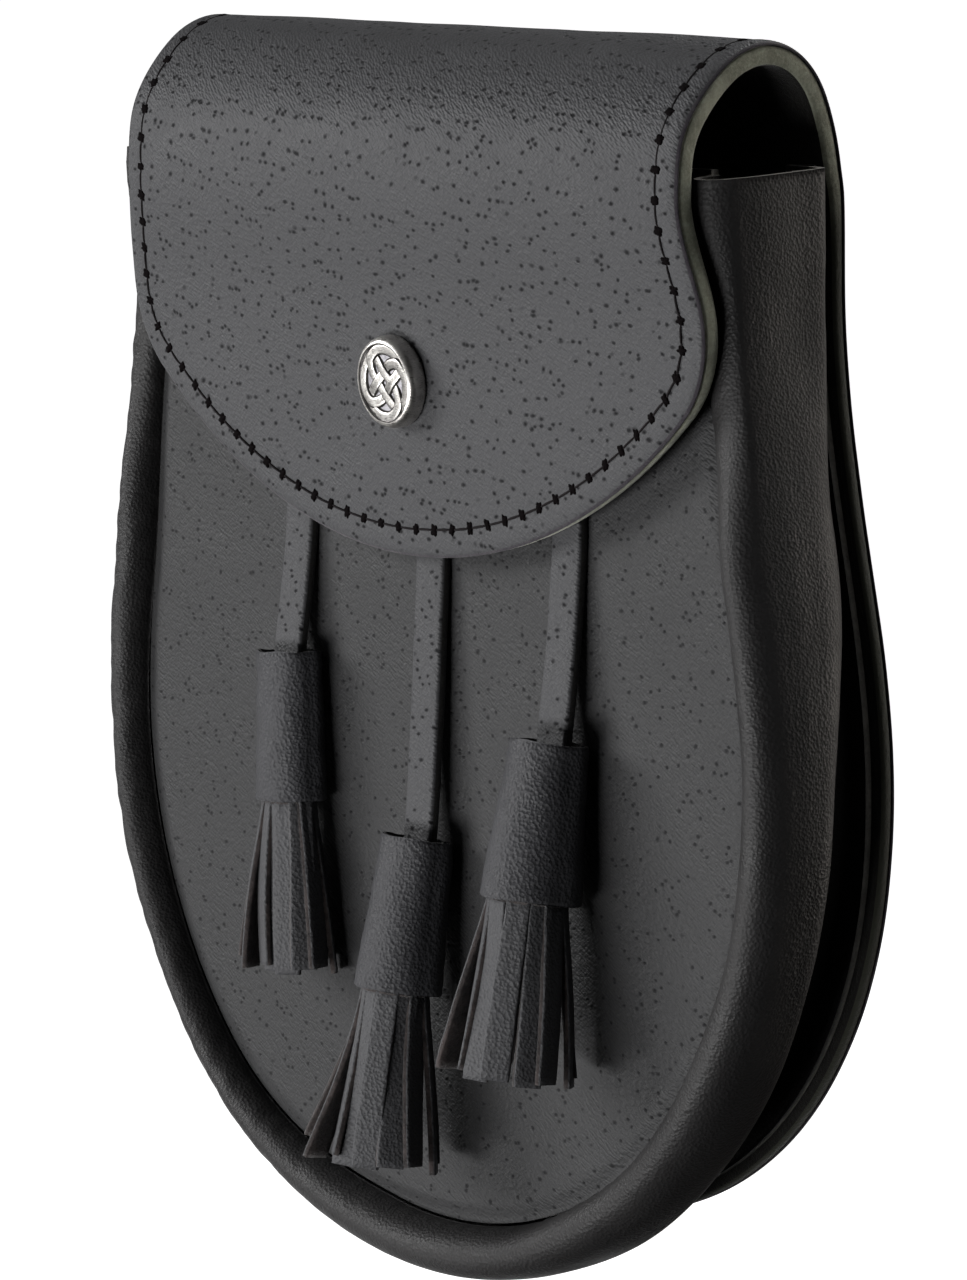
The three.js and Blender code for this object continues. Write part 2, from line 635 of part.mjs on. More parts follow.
// One strip of a fringe, hanging from the head's rim at an angle round it and flaring outwards.
const STRIP_ROWS = [-0.14, 0, 0.3, 0.65, 1]; // shares of its length, the first inside the head
const STRIP_INSET = 0.4; // from the head's side to the strip's outside, so that its corners stay in the head
function fringeStrip(tassel, angle, share) {
  const [a, b] = collarHalves(tassel, COLLAR_LENGTH, COLLAR_WALL + GAP + FRINGE_THICK / 2 + STRIP_INSET);
  const outward = new THREE.Vector3(b * Math.cos(angle), a * Math.sin(angle), 0).normalize();
  const across = new THREE.Vector3(-outward.y, outward.x, 0);
  const rim = new THREE.Vector3(a * Math.cos(angle), b * Math.sin(angle), 0);
  const length = FRINGE_LENGTH * (1 - 0.05 * share);
  const half = (Math.PI * (a + b) * 0.47) / FRINGE_STRIPS;
  const lean = collarLean(tassel);
  const flare = (COLLAR_WALL + tassel.flare) * (1 - 0.08 * share);
  const front = [];
  const back = [];
  for (const t of STRIP_ROWS) {
    const along = Math.max(0, t);
    const z = -COLLAR_LENGTH - length * t;
    const wide = half * (1 + 0.1 * along);
    const nearest = (tassel.topDeep + COLLAR_CLEAR - z * Math.sin(lean)) / Math.cos(lean);
    const room = nearest - FRINGE_THICK / 2 - Math.abs(across.y) * wide - rim.y;
    const most = outward.y > 0.1 ? room / outward.y : Infinity;
    const spread = t < 0 ? -STRIP_INSET : Math.min(most, flare * along ** 1.3 * (1.25 - 0.25 * along));
    const at = rim.clone().addScaledVector(outward, spread);
    const edge = (side, depth) =>
      at.clone().addScaledVector(outward, depth).addScaledVector(across, side * wide).setZ(z);
    front.push([edge(-1, FRINGE_THICK / 2), edge(1, FRINGE_THICK / 2)]);
    back.push([edge(-1, -FRINGE_THICK / 2), edge(1, -FRINGE_THICK / 2)]);
  }
  return toSolid(wall(front, back));
}

function fringe(tassel) {
  const ring = (below) => [...collarHalves(tassel, below, COLLAR_WALL + GAP), -below];
  let solid = toSolid(oval([ring(COLLAR_LENGTH), ring(COLLAR_LENGTH - HEAD_LENGTH)], false));
  for (let k = 0; k < FRINGE_STRIPS; k++) {
    const angle = ((k + tassel.turn) * 2 * Math.PI) / FRINGE_STRIPS;
    solid = solid.add(fringeStrip(tassel, angle, (k * 7) % 5));
  }
  return toGeometry(solid);
}

// Belt loops

// A strip with flat ends on the back and a raised middle, through which a belt passes along X.
const LOOP_ROWS = [
  { along: 0, rise: 0 },
  { along: 0.5, rise: 0 },
  { along: 0.75, rise: 0.3 },
  { along: 1, rise: 0.85 },
  { along: 1.3, rise: 1 },
];
function beltLoop() {
  const half = LOOP.height / 2;
  const side = LOOP_ROWS.map(({ along, rise }) => [half - along * LOOP.seat, GAP + rise * LOOP.gap]);
  const line = [...side, ...side.map(([z, y]) => [-z, y]).reverse()];
  const front = [];
  const back = [];
  line.forEach(([z, y], i) => {
    const from = line[Math.max(0, i - 1)];
    const to = line[Math.min(line.length - 1, i + 1)];
    const along = new THREE.Vector2(to[0] - from[0], to[1] - from[1]).normalize();
    const lift = new THREE.Vector2(Math.sign(z) * Math.abs(along.y), Math.abs(along.x));
    const edge = (x, depth) => new THREE.Vector3(x, y + lift.y * depth, z + lift.x * depth);
    front.push([edge(-LOOP.width / 2, LOOP.thick), edge(LOOP.width / 2, LOOP.thick)]);
    back.push([edge(-LOOP.width / 2, 0), edge(LOOP.width / 2, 0)]);
  });
  return toGeometry(toSolid(wall(front, back)));
}

const sporran = new THREE.Group();
function add(name, geometry, material, parent = sporran) {
  const mesh = new THREE.Mesh(geometry, material);
  mesh.name = name;
  parent.add(mesh);
  return mesh;
}

add("face_leather", leatherLayer(0, FACE_THICK), grained);
add("lining_leather", leatherLayer(FACE_THICK + GAP, LINING_THICK), split);
add("front_panel", toGeometry(toSolid(frontPanel())), grained);
add("gusset", toGeometry(toSolid(gusset())), smooth);
add("stud", stud(), silver);
add("snap_post", snapPost(), silver);
for (const row of TASSELS) {
  const tassel = { ...row, ...TASSEL_LEANS[row.name] };
  add("strap_" + tassel.name, strap(tassel), grained);
  const hung = new THREE.Group();
  hung.position.copy(collarTop(tassel));
  hung.rotation.set(-collarLean(tassel), THREE.MathUtils.degToRad(-tassel.tilt), 0);
  sporran.add(hung);
  add("collar_" + tassel.name, collar(tassel), smooth, hung);
  add("fringe_" + tassel.name, fringe(tassel), smooth, hung);
}
for (const [name, side] of [["left", -1], ["right", 1]]) {
  const loop = add("hanger_loop_" + name, beltLoop(), grained);
  loop.position.x = side * LOOP.across;
}

export default sporran;
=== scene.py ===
import math

import bpy
import numpy as np
from mathutils import Euler, Matrix, Vector, noise


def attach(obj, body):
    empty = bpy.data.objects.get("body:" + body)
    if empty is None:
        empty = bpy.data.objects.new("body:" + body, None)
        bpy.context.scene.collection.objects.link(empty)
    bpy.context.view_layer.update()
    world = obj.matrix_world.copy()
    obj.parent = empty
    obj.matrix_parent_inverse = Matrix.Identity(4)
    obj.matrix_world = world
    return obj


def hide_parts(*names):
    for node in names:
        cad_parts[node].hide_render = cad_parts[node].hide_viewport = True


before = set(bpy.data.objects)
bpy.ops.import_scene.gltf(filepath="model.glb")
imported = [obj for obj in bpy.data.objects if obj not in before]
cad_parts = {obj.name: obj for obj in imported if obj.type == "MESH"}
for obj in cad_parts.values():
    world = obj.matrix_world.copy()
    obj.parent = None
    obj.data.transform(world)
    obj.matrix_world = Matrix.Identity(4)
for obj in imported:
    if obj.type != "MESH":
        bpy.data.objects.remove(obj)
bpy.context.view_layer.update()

MM = 0.001
UV_PER_MM = 0.01

# Sizes of the pouch, in millimetres in the part's own frame: +Y is the back, the origin is on the rear face

GAP = 0.3
FACE_THICK = 1.2
LINING_THICK = 1.5
BACK_THICK = FACE_THICK + GAP + LINING_THICK
FACE_EDGE = 0.8
LINING_SWELL = 0.9
PANEL_THICK = 1.4
GUSSET_THICK = 1.2

BACK = dict(neck_half=71.5, belly_half=83.3, neck_z=-2, belly_z=-82, drop=77, square=2.2)
SEAM = dict(neck_half=66.5, belly_half=78.4, neck_z=0, belly_z=-80, drop=78.4, square=2)
MOUTH_Z = 15.5
PANEL_DEPTH = 24.5
RIM_PROUD = 5.8
RIM_PROUD_NECK = 2.4
RIM_OUT = 9.2
PANEL_CURL = 1.2
PANEL_CURL_REACH = 4
MOUTH_PROUD = 3
MOUTH_DROP = -0.9
MOUTH_RISE = 0.5
RIDGE_SHARE = 0.62

# The left rim is rolled tighter than the right one, and its neck stands out further
LEFT_SEAM_OUT = 4.2
LEFT_NECK_OUT = 3.9
LEFT_TIGHTER = 2.4
LEFT_PROUD = 4.2

FOLD_TOP_Z = 35
FOLD_DEPTH = 34.8
FOLD_START_Z = 6
FOLD_LIFT = 2
FLAP_CROWN = 1.6
FLAP = dict(half=74.3, tip_z=-48.7, corner=19, tip_radius=101, waist_z=12)

STUD_Z = -20.3
STUD_RADIUS = 7.5
STUD_HEIGHT = 3.4
KNOT_WIDTH = 1.8
KNOT_SHARE = 0.84

STRAP_WIDTH = 7
STRAP_THICK = 1.8
STRAP_TOP_Z = -38
COLLAR_LENGTH = 25
COLLAR_WALL = 1.1
COLLAR_CLEAR = 0.2
FRINGE_LENGTH = 28.5
FRINGE_THICK = 1.1
HEAD_LENGTH = 14
TASSELS = dict(
    left=dict(across=-34.6, top_z=-67.7, top=(6.1, 4.2), end=(6.5, 5), lean=2.2, tilt=4),
    middle=dict(across=0.8, top_z=-94.6, top=(6.4, 4.7), end=(7.2, 6.6), lean=9.5, tilt=0),
    right=dict(across=35.4, top_z=-74.8, top=(6.6, 5.2), end=(7.7, 7.7), lean=9, tilt=0),
)

# How widely each tassel's fringe flares, as a share of the rows in STRIPS
FRINGE_SPREADS = (0.75, 1.1, 0.95)

LOOP = dict(across=34, width=18, height=50, thick=2.4, gap=6, seat=9)

STITCH_INSET = 4.5
STITCH_PITCH = 4.6
THREAD_RADIUS = 0.2
THREAD_RISE = 0.16
THREAD_DIP = 0.62
HOLE_DEPTH = 0.3
# The near-black ellipsoids of painted shade that cross at a needle hole: lean from the seam in degrees, and
# share of the hole's size
HOLE_SHADE_BLOTS = [(50, 0.95), (104, 0.95), (155, 0.7)]

# The photo's camera: place and direction in the part's frame, and its frame in pixels
CAMERA_AT = (702.0, -570.6, 55.2)
CAMERA_RIGHT = (0.627399, 0.778696, -0.001459)
CAMERA_UP = (-0.105386, 0.086766, 0.990639)
FOCAL_PIXELS = 5538.7
CENTRE_PIXEL = (529.2, 667.3)
PHOTO_SIZE = (967, 1280)
SENSOR = 36.0

# The studio, in metres: each light's place, size, power in watts and colour
LIGHT_AIM = (0, -0.015, -0.06)
WHITE = (1, 1, 1)
LIGHTS = dict(
    key_light=((-0.98, -0.8, 0.32), (0.55, 0.6), 13, WHITE),
    low_light=((-0.1, -0.95, -0.42), (1.0, 0.25), 14, WHITE),
    left_bounce=((-0.75, 0.3, -0.45), (0.9, 0.6), 2, WHITE),
    right_bounce=((1.2, 0.3, 0.15), (0.8, 0.9), 0.9, WHITE),
    rim_light=((0.42, 1.2, 0.0), (0.3, 0.9), 6, (1, 0.93, 0.85)),
    top_light=((0.0, 0.75, 1.0), (0.9, 0.5), 14, WHITE),
)
SKY_TOWARD = (-0.7, -0.6, 0.42)
SKY_COLOR = (0.97, 0.985, 1.0)
SKY_DIM = 0.012
SKY_BRIGHT = 0.13
FLOOR_Z = -0.52
FLOOR_HALF = 40


def mix(a, b, t):
    return a + (b - a) * t


def ease(t):
    t = np.clip(t, 0, 1)
    return t * t * (3 - 2 * t)


def unit(v):
    return v / np.maximum(np.linalg.norm(v, axis=-1, keepdims=True), 1e-9)


def path_length(line):
    """Arc length from the line's start to each of its points."""
    return np.concatenate([[0], np.cumsum(np.linalg.norm(np.diff(line, axis=0), axis=1))])


def points_at(line, at):
    """Points of the line at the given arc lengths."""
    length = path_length(line)
    return np.column_stack([np.interp(at, length, line[:, k]) for k in range(line.shape[1])])


def respace(line, step):
    """The same line with evenly spaced points about step apart."""
    total = path_length(line)[-1]
    count = max(2, int(round(total / step)))
    return points_at(line, np.linspace(0, total, count + 1))


def curve(start, end, leave, arrive, count):
    """Points of a smooth curve from start up to end, which is left out, with its slopes at both."""
    t = np.linspace(0, 1, count, endpoint=False)[:, None]
    return ((2 * t ** 3 - 3 * t ** 2 + 1) * start + (t ** 3 - 2 * t ** 2 + t) * leave
            + (3 * t ** 2 - 2 * t ** 3) * end + (t ** 3 - t ** 2) * arrive)


def soften(line, count):
    """A smooth line through the same points, with count evenly spaced points."""
    ahead = np.vstack([line[1:], 2 * line[-1] - line[-2]])
    behind = np.vstack([2 * line[0] - line[1], line[:-1]])
    size = np.linalg.norm(ahead - line, axis=1)
    points = []
    for i in range(len(line) - 1):
        slopes = ((line[i + 1] - behind[i]) / 2, (ahead[i + 1] - line[i]) / 2)
        leave, arrive = (m * min(1, size[i] / max(1e-6, np.linalg.norm(m))) for m in slopes)
        points.append(curve(line[i], line[i + 1], leave, arrive, 14))
    points = np.vstack(points + [line[-1:]])
    return points_at(points, np.linspace(0, path_length(points)[-1], count))


def smooth_noise(points, size, seed=0.0):
    """Smooth noise from about -1 to 1 at each point, whose lumps are size millimetres across."""
    points = np.asarray(points, dtype=float)
    flat = points.reshape(-1, points.shape[-1])
    if flat.shape[1] == 2:
        flat = np.column_stack([flat, np.zeros(len(flat))])
    flat = flat / size + (seed, -seed, 2 * seed)
    return np.array([noise.noise(Vector(p)) for p in flat]).reshape(points.shape[:-1])


# Meshes

class Builder:
    """Gathers points, UVs and faces of one piece, with a material number on each face."""

    def __init__(self):
        self.points = []
        self.uvs = []
        self.faces = []
        self.slots = []
        self.count = 0

    def add(self, points, uvs):
        points = np.asarray(points, dtype=float).reshape(-1, 3)
        self.points.append(points)
        self.uvs.append(np.asarray(uvs, dtype=float).reshape(-1, 2))
        start = self.count
        self.count += len(points)
        return start

    def grid(self, points, uvs=None, slot=0, wrap_rows=False, wrap_columns=False, slots=None):
        """Joins a grid of points, rows by columns, with quads. Wrapped edges meet their start."""
        rows, columns = points.shape[:2]
        start = self.add(points, np.zeros((rows, columns, 2)) if uvs is None else uvs)
        for i in range(rows if wrap_rows else rows - 1):
            for j in range(columns if wrap_columns else columns - 1):
                a, b = i, (i + 1) % rows
                c, d = j, (j + 1) % columns
                self.faces.append((start + a * columns + c, start + b * columns + c,
                                   start + b * columns + d, start + a * columns + d))
                self.slots.append(slots[j] if slots is not None else slot)
        return start

    def cap(self, ring, centre, slot=0, turn=False):
        """Closes a ring of points with a fan of faces round a new point."""
        middle = self.add([centre], [(0, 0)])
        for i in range(len(ring)):
            a, b = ring[i], ring[(i + 1) % len(ring)]
            self.faces.append((b, a, middle) if turn else (a, b, middle))
            self.slots.append(slot)

    def close_sheet(self, front, back, rows, columns, slot):
        """Joins the rim of a front grid to that of a back grid whose columns run the other way."""
        rim = [(0, j) for j in range(columns)] + [(i, columns - 1) for i in range(1, rows)]
        rim += [(rows - 1, j) for j in range(columns - 2, -1, -1)] + [(i, 0) for i in range(rows - 2, 0, -1)]
        before = [front + i * columns + j for i, j in rim]
        behind = [back + i * columns + columns - 1 - j for i, j in rim]
        for k in range(len(rim)):
            after = (k + 1) % len(rim)
            self.faces.append((before[after], before[k], behind[k], behind[after]))
            self.slots.append(slot)

    def finish(self, name, materials, replaces, slot):
        """A mesh with a UV that follows the leather, riding on the only body."""
        mesh = bpy.data.meshes.new(name)
        mesh.from_pydata((np.vstack(self.points) * MM).tolist(), [], self.faces)
        layer = mesh.uv_layers.new(name="leather")
        corner = np.empty(len(mesh.loops), dtype=np.int32)
        mesh.loops.foreach_get("vertex_index", corner)
        uvs = np.vstack(self.uvs)[corner] * UV_PER_MM
        layer.data.foreach_set("uv", uvs.astype(np.float32).ravel())
        for material in materials:
            mesh.materials.append(material)
        mesh.polygons.foreach_set("material_index", np.asarray(self.slots, dtype=np.int32))
        mesh.validate()
        mesh.polygons.foreach_set("use_smooth", np.ones(len(mesh.polygons), dtype=bool))
        piece = bpy.data.objects.new(name, mesh)
        bpy.context.scene.collection.objects.link(piece)
        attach(piece, "root")
        if replaces:
            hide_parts(*replaces)


# Outlines

def half_width(outline, z):
    z = np.asarray(z, dtype=float)
    t = np.clip((z - outline["belly_z"]) / (outline["neck_z"] - outline["belly_z"]), 0, 1)
    upper = mix(outline["neck_half"], outline["belly_half"], (1 + np.cos(np.pi * t)) / 2)
    low = np.clip((outline["belly_z"] - z) / outline["drop"], 0, 1)
    lower = outline["belly_half"] * (1 - low ** outline["square"]) ** (1 / outline["square"])
    return np.where(z >= outline["belly_z"], upper, lower)


def half_outline(outline, top_z, step):
    """Points (x, z) of the right half from the bottom up to top_z, about step apart."""
    angles = np.linspace(np.pi / 2, 0, 400)
    power = 2 / outline["square"]
    bowl = np.column_stack([outline["belly_half"] * np.clip(np.cos(angles), 0, 1) ** power,
                            outline["belly_z"] - outline["drop"] * np.sin(angles) ** power])
    bowl[0, 0] = 0
    heights = np.linspace(outline["belly_z"], top_z, 400)[1:]
    side = np.column_stack([half_width(outline, heights), heights])
    return respace(np.vstack([bowl, side]), step)


def outward_normals(line):
    """Normals of a line in the plane, on its right-hand side, and square to X at a tip on the middle line."""
    along = np.gradient(line, axis=0)
    normals = unit(np.column_stack([along[:, 1], -along[:, 0]]))
    for end, way in ((0, -1), (-1, 1)):
        if abs(line[end, 0]) < 1e-6:
            normals[end] = (0, way)
    return normals


# Fold over the top: columns are shares of FOLD_DEPTH and of the rise or the drop

FOLD_ROWS = [(0, 0), (0.02, 0.3), (0.07, 0.56), (0.16, 0.8), (0.3, 0.95),
             (0.48, 1), (0.66, 0.94), (0.81, 0.8), (0.93, 0.62), (0.99, 0.43)]
FLAP_ROWS = [(1, 0.03), (0.97, 0.16), (0.925, 0.3), (0.892, 0.48), (0.874, 0.62), (0.852, 0.8), (0.834, 1)]


def fold_line():
    """The outer surface's section (y, z) by arc length, evenly sampled and softened."""
    bottom = BACK["belly_z"] - BACK["drop"]
    rows = [(0, bottom), (0, BACK["belly_z"]), (0, (BACK["belly_z"] + FOLD_START_Z) / 2)]
    rows += [(-deep * FOLD_DEPTH, mix(FOLD_START_Z, FOLD_TOP_Z, high)) for deep, high in FOLD_ROWS]
    rows += [(-deep * FOLD_DEPTH, mix(FLAP["waist_z"], FLAP["tip_z"], low)) for deep, low in FLAP_ROWS]
    rows = np.array(rows, dtype=float)
    line = []
    for i in range(len(rows) - 1):
        before, start, end, after = (rows[np.clip(i + k, 0, len(rows) - 1)] for k in (-1, 0, 1, 2))
        line.append(curve(start, end, (end - before) / 2, (after - start) / 2, 60))
    line = np.vstack(line + [rows[-1:]])
    line[:, 0] = np.minimum(line[:, 0], 0)
    line = respace(line, 0.25)
    reach = 12
    weights = np.hanning(2 * reach + 3)[1:-1]
    weights /= weights.sum()
    padded = np.vstack([2 * line[0] - line[reach:0:-1], line, 2 * line[-1] - line[-2:-reach - 2:-1]])
    return np.column_stack([np.convolve(padded[:, k], weights, "valid") for k in (0, 1)])


FOLD = fold_line()
FOLD_S = path_length(FOLD)
FOLD_ALONG = unit(np.gradient(FOLD, axis=0))
FOLD_APEX = int(np.argmax(FOLD[:, 1]))


def fold_s(z, on_flap):
    """Arc length along the fold at height z, on the back or on the flap."""
    if on_flap:
        return np.interp(-np.asarray(z, dtype=float), -FOLD[FOLD_APEX:, 1], FOLD_S[FOLD_APEX:])
    return np.interp(z, FOLD[:FOLD_APEX + 1, 1], FOLD_S[:FOLD_APEX + 1])


def fold_at(x, s, sunk):
    """Points of the folded leather: x across, s along, sunk below its outer surface."""
    x, s, sunk = np.broadcast_arrays(np.asarray(x, float), np.asarray(s, float), np.asarray(sunk, float))
    y, z = (np.interp(s, FOLD_S, FOLD[:, k]) for k in (0, 1))
    ay, az = (np.interp(s, FOLD_S, FOLD_ALONG[:, k]) for k in (0, 1))
    size = np.hypot(ay, az)
    forward = np.clip(-y / FOLD_DEPTH, 0, 1) ** 2
    crown = FLAP_CROWN * forward * (1 - (x / FLAP["half"]) ** 2)
    high = np.clip((z - FOLD_START_Z) / (FOLD_TOP_Z - FOLD_START_Z), 0, 1)
    lift = FOLD_LIFT * (1 - x / FLAP["half"]) / 2 * high
    return np.stack([x, y - az / size * sunk - crown, z + ay / size * sunk + lift], axis=-1)


def flap_outline(step):
    """Points (x, z) of the flap's right edge from its waist down to its tip."""
    half, tip_z, corner, radius, waist_z = FLAP.values()
    arc_z = tip_z + radius
    inner = radius - corner
    corner_x = half - corner
    tip_angle = math.asin(corner_x / inner)
    corner_z = arc_z - inner * math.cos(tip_angle)
    heights = np.linspace(waist_z, corner_z, 60)
    widths = mix(half, BACK["neck_half"], ease((heights - corner_z) / (waist_z - corner_z)))
    waist = np.column_stack([widths, heights])
    turn = np.linspace(0, np.pi / 2 - tip_angle, 60)[1:]
    round_end = np.column_stack([corner_x + corner * np.cos(turn), corner_z - corner * np.sin(turn)])
    sweep = np.linspace(tip_angle, 0, 120)[1:]
    tip = np.column_stack([radius * np.sin(sweep), arc_z - radius * np.cos(sweep)])
    tip[-1, 0] = 0
    return respace(np.vstack([waist, round_end, tip]), step)


def leather_outline(step):
    """The right half of the unrolled leather, (x, s), from the back's bottom to the flap's tip."""
    back = half_outline(BACK, FOLD_START_Z, step)
    back = np.column_stack([back[:, 0], fold_s(back[:, 1], False)])
    flap = flap_outline(step)
    flap = np.column_stack([flap[:, 0], fold_s(flap[:, 1], True)])
    between = np.array([[BACK["neck_half"], back[-1, 1] + 1], [BACK["neck_half"], flap[0, 1] - 1]])
    line = respace(np.vstack([back, between, flap]), step)
    line[0, 0] = line[-1, 0] = 0
    return line


LEATHER = leather_outline(0.8)


def stitch_marks():
    """Where the needle went in round the leather's edge, and each outline point's place between two holes."""
    line = LEATHER - outward_normals(LEATHER) * STITCH_INSET
    whole = np.vstack([line, line[-2:0:-1] * (-1, 1), line[:1]])
    length = path_length(whole)
    count = int(round(length[-1] / STITCH_PITCH))
    marks = points_at(whole, np.linspace(0, length[-1], count, endpoint=False))
    return marks, length[:-1] / length[-1] * count


MARKS, STITCH_PHASE = stitch_marks()


def leather_waves(x, s):
    """Slow unevenness of the leather, in millimetres."""
    where = np.stack(np.broadcast_arrays(np.asarray(x, float), np.asarray(s, float)), axis=-1)
    return 0.3 * smooth_noise(where, 34, 3.1) + 0.1 * smooth_noise(where, 11, 7.7)


def fold_share(s):
    """1 in the fold over the top, and 0 on the back and on the lower flap."""
    return ease((s - fold_s(0, False)) / 20) * (1 - ease((s - fold_s(-4, True)) / 28))


def leather_slab(name, profile, columns, materials, side_slots, replaces, slot, pucker=0.0, swell=0.0):
    """A slab of the folded leather. profile: rows of (inset from the outline, depth below the outer surface),
    from the inside of the grain face, round the edge, to the inside of the other face. The leather dips by
    pucker at each needle hole, and swell thickens the slab in the fold."""
    normals = outward_normals(LEATHER)
    right = [LEATHER - normals * inset for inset, _ in profile]
    loops = np.stack([np.vstack([ring, ring[-2:0:-1] * (-1, 1)]) for ring in right], axis=1)
    inset, depth = np.array(profile).T
    pull = np.exp(-((STITCH_PHASE - np.round(STITCH_PHASE)) * STITCH_PITCH / 0.95) ** 2) - 0.25
    depth = depth[None, :] + pucker * pull[:, None] * np.exp(-((inset - STITCH_INSET) / 1.1) ** 2)[None, :]
    deeper = swell * fold_share(loops[:, 0, 1])
    depth = depth + deeper[:, None] * (depth - depth.min()) / (depth.max() - depth.min())
    waves = leather_waves(loops[:, 0, 0], loops[:, 0, 1])[:, None]
    build = Builder()
    start = build.grid(fold_at(loops[..., 0], loops[..., 1], depth + waves), loops, wrap_rows=True,
                       slots=side_slots)
    last = len(profile) - 1
    fill_slab(build, right[0], profile[0][1], columns[0], start, last + 1, side_slots[0])
    fill_slab(build, right[last], profile[last][1] + swell * fold_share(right[last][1:-1, 1:]), columns[1],
              start + last, last + 1, side_slots[-1], turn=True)
    build.finish(name, materials, replaces, slot)


def fill_slab(build, ring, sunk, columns, start, steps, slot, turn=False):
    """Fills one side of a slab within its rim, whose points are steps apart in the build from start on.
    ring: the rim's right half. turn: the side that faces the other way."""
    x = ring[1:-1, :1] * np.linspace(-1, 1, columns + 1)[1:-1]
    s = np.broadcast_to(ring[1:-1, 1:], x.shape)
    base = build.add(fold_at(x, s, sunk + leather_waves(x, s)), np.stack([x, s], axis=-1))
    count = len(ring)
    around = 2 * count - 2

    def at(i, j):
        if j == columns:
            return start + i * steps
        if j == 0:
            return start + (around - i) % around * steps
        return base + (i - 1) * (columns - 1) + j - 1

    for i in range(1, count - 2):
        for j in range(columns):
            quad = (at(i, j), at(i, j + 1), at(i + 1, j + 1), at(i + 1, j))
            build.faces.append(quad if turn else quad[::-1])
    for i, tip in ((1, start), (count - 2, start + (count - 1) * steps)):
        for j in range(columns):
            face = (at(i, j), at(i, j + 1), tip)
            build.faces.append(face if (i == 1) != turn else face[::-1])
    build.slots += [slot] * (len(build.faces) - len(build.slots))


# Materials

class Nodes:
    """Short calls for building a node tree: each returns the new node or its output socket."""

    def __init__(self, tree):
        self.tree = tree

    def feed(self, socket, value):
        if isinstance(value, bpy.types.NodeSocket):
            self.tree.links.new(value, socket)
        elif socket.type == "RGBA":
            socket.default_value = (*value, 1)
        else:
            socket.default_value = value

    def new(self, kind, inputs, **settings):
        node = self.tree.nodes.new(kind)
        for key, value in settings.items():
            setattr(node, key, value)
        for key, value in inputs.items():
            self.feed(node.inputs[key], value)
        return node

    def math(self, operation, a, b, c=0.0, clamp=False):
        return self.new("ShaderNodeMath", {0: a, 1: b, 2: c}, operation=operation, use_clamp=clamp).outputs[0]

    def vector(self, operation, a, b):
        return self.new("ShaderNodeVectorMath", {0: a, 1: b}, operation=operation).outputs[0]

    def noise(self, where, size, detail, rough, distort=0.0):
        inputs = {"Vector": where, "Scale": 1 / size, "Detail": detail, "Roughness": rough}
        return self.new("ShaderNodeTexNoise", {**inputs, "Distortion": distort}).outputs["Fac"]

    def cells(self, where, size, dimensions="2D"):
        inputs = {"Vector": where, "Scale": 1 / size}
        return self.new("ShaderNodeTexVoronoi", inputs, voronoi_dimensions=dimensions)

    def step(self, value, low, high, to_low=0.0, to_high=1.0):
        inputs = {"Value": value, "From Min": low, "From Max": high, "To Min": to_low, "To Max": to_high}
        return self.new("ShaderNodeMapRange", inputs, interpolation_type="SMOOTHSTEP").outputs[0]

    def tint(self, share, a, b):
        return self.new("ShaderNodeMix", {0: share, 6: a, 7: b}, data_type="RGBA").outputs[2]


class Material(Nodes):
    """A Principled material and the nodes that feed it."""

    def __init__(self, name, color, roughness, specular=0.5, metallic=0.0):
        self.material = bpy.data.materials.new(name)
        self.material.use_nodes = True
        self.material.diffuse_color = (*color, 1)
        super().__init__(self.material.node_tree)
        self.shader = self.tree.nodes["Principled BSDF"]
        self.set(**{"Base Color": color, "Roughness": roughness, "Metallic": metallic,
                    "Specular IOR Level": specular})

    def set(self, **inputs):
        for key, value in inputs.items():
            self.feed(self.shader.inputs[key], value)

    def leather_mm(self):
        """The leather's own coordinates in millimetres."""
        uv = self.new("ShaderNodeUVMap", {}, uv_map="leather").outputs[0]
        return self.vector("MULTIPLY", uv, (1 / UV_PER_MM,) * 3)

    def space_mm(self):
        place = self.new("ShaderNodeTexCoord", {}).outputs["Object"]
        return self.vector("MULTIPLY", place, (1 / MM,) * 3)

    def finish(self, color, height_mm, roughness=None):
        """Feeds the shader: a colour, a bump in millimetres and, where it varies, the roughness."""
        bump = self.new("ShaderNodeBump", {"Strength": 1.0, "Distance": MM, "Height": height_mm}).outputs[0]
        self.set(**{"Base Color": color, "Normal": bump})
        if roughness is not None:
            self.set(Roughness=roughness)
        return self.material


def scaled(color, share):
    return tuple(c * share for c in color)


LEATHER_SPECULAR = 0.22
PORE_BLACK = (0.002, 0.0018, 0.0026)
# The picture's angle narrows the leather, so pores and specks are measured in narrowed coordinates
NARROWED = (0.64, 1.0, 1.0)
# Three fields of pores: shift in millimetres, drift, the share of weak pores, and how dark those are
PORE_FIELDS = [((0.0, 0.0, 0.0), 2.0, 0.0, 0.3), ((1.15, -0.5, 0.0), 2.7, 0.5, 0.0),
               ((31.7, 57.3, 0.0), 2.4, 0.1, 0.3)]


def pore_field(n, rows, drift, spread, pore, field):
    shift, sway, weak, faint = field
    bent = n.vector("ADD", rows, n.vector("MULTIPLY", drift, (sway, sway, 0.0)))
    cell = n.cells(n.vector("ADD", bent, shift), spread)
    far = n.math("MULTIPLY", cell.outputs["Distance"], spread)
    split = n.new("ShaderNodeSeparateColor", {"Color": cell.outputs["Color"]}).outputs
    edge = n.math("DIVIDE", far, n.math("MULTIPLY_ADD", split[0], pore * 0.35, pore * 0.85))
    dark = n.step(split[1], weak, weak + 0.25, faint, 1.0)
    return n.math("MULTIPLY", n.step(edge, 0.15, 1.2, 1.0, 0.0), dark)


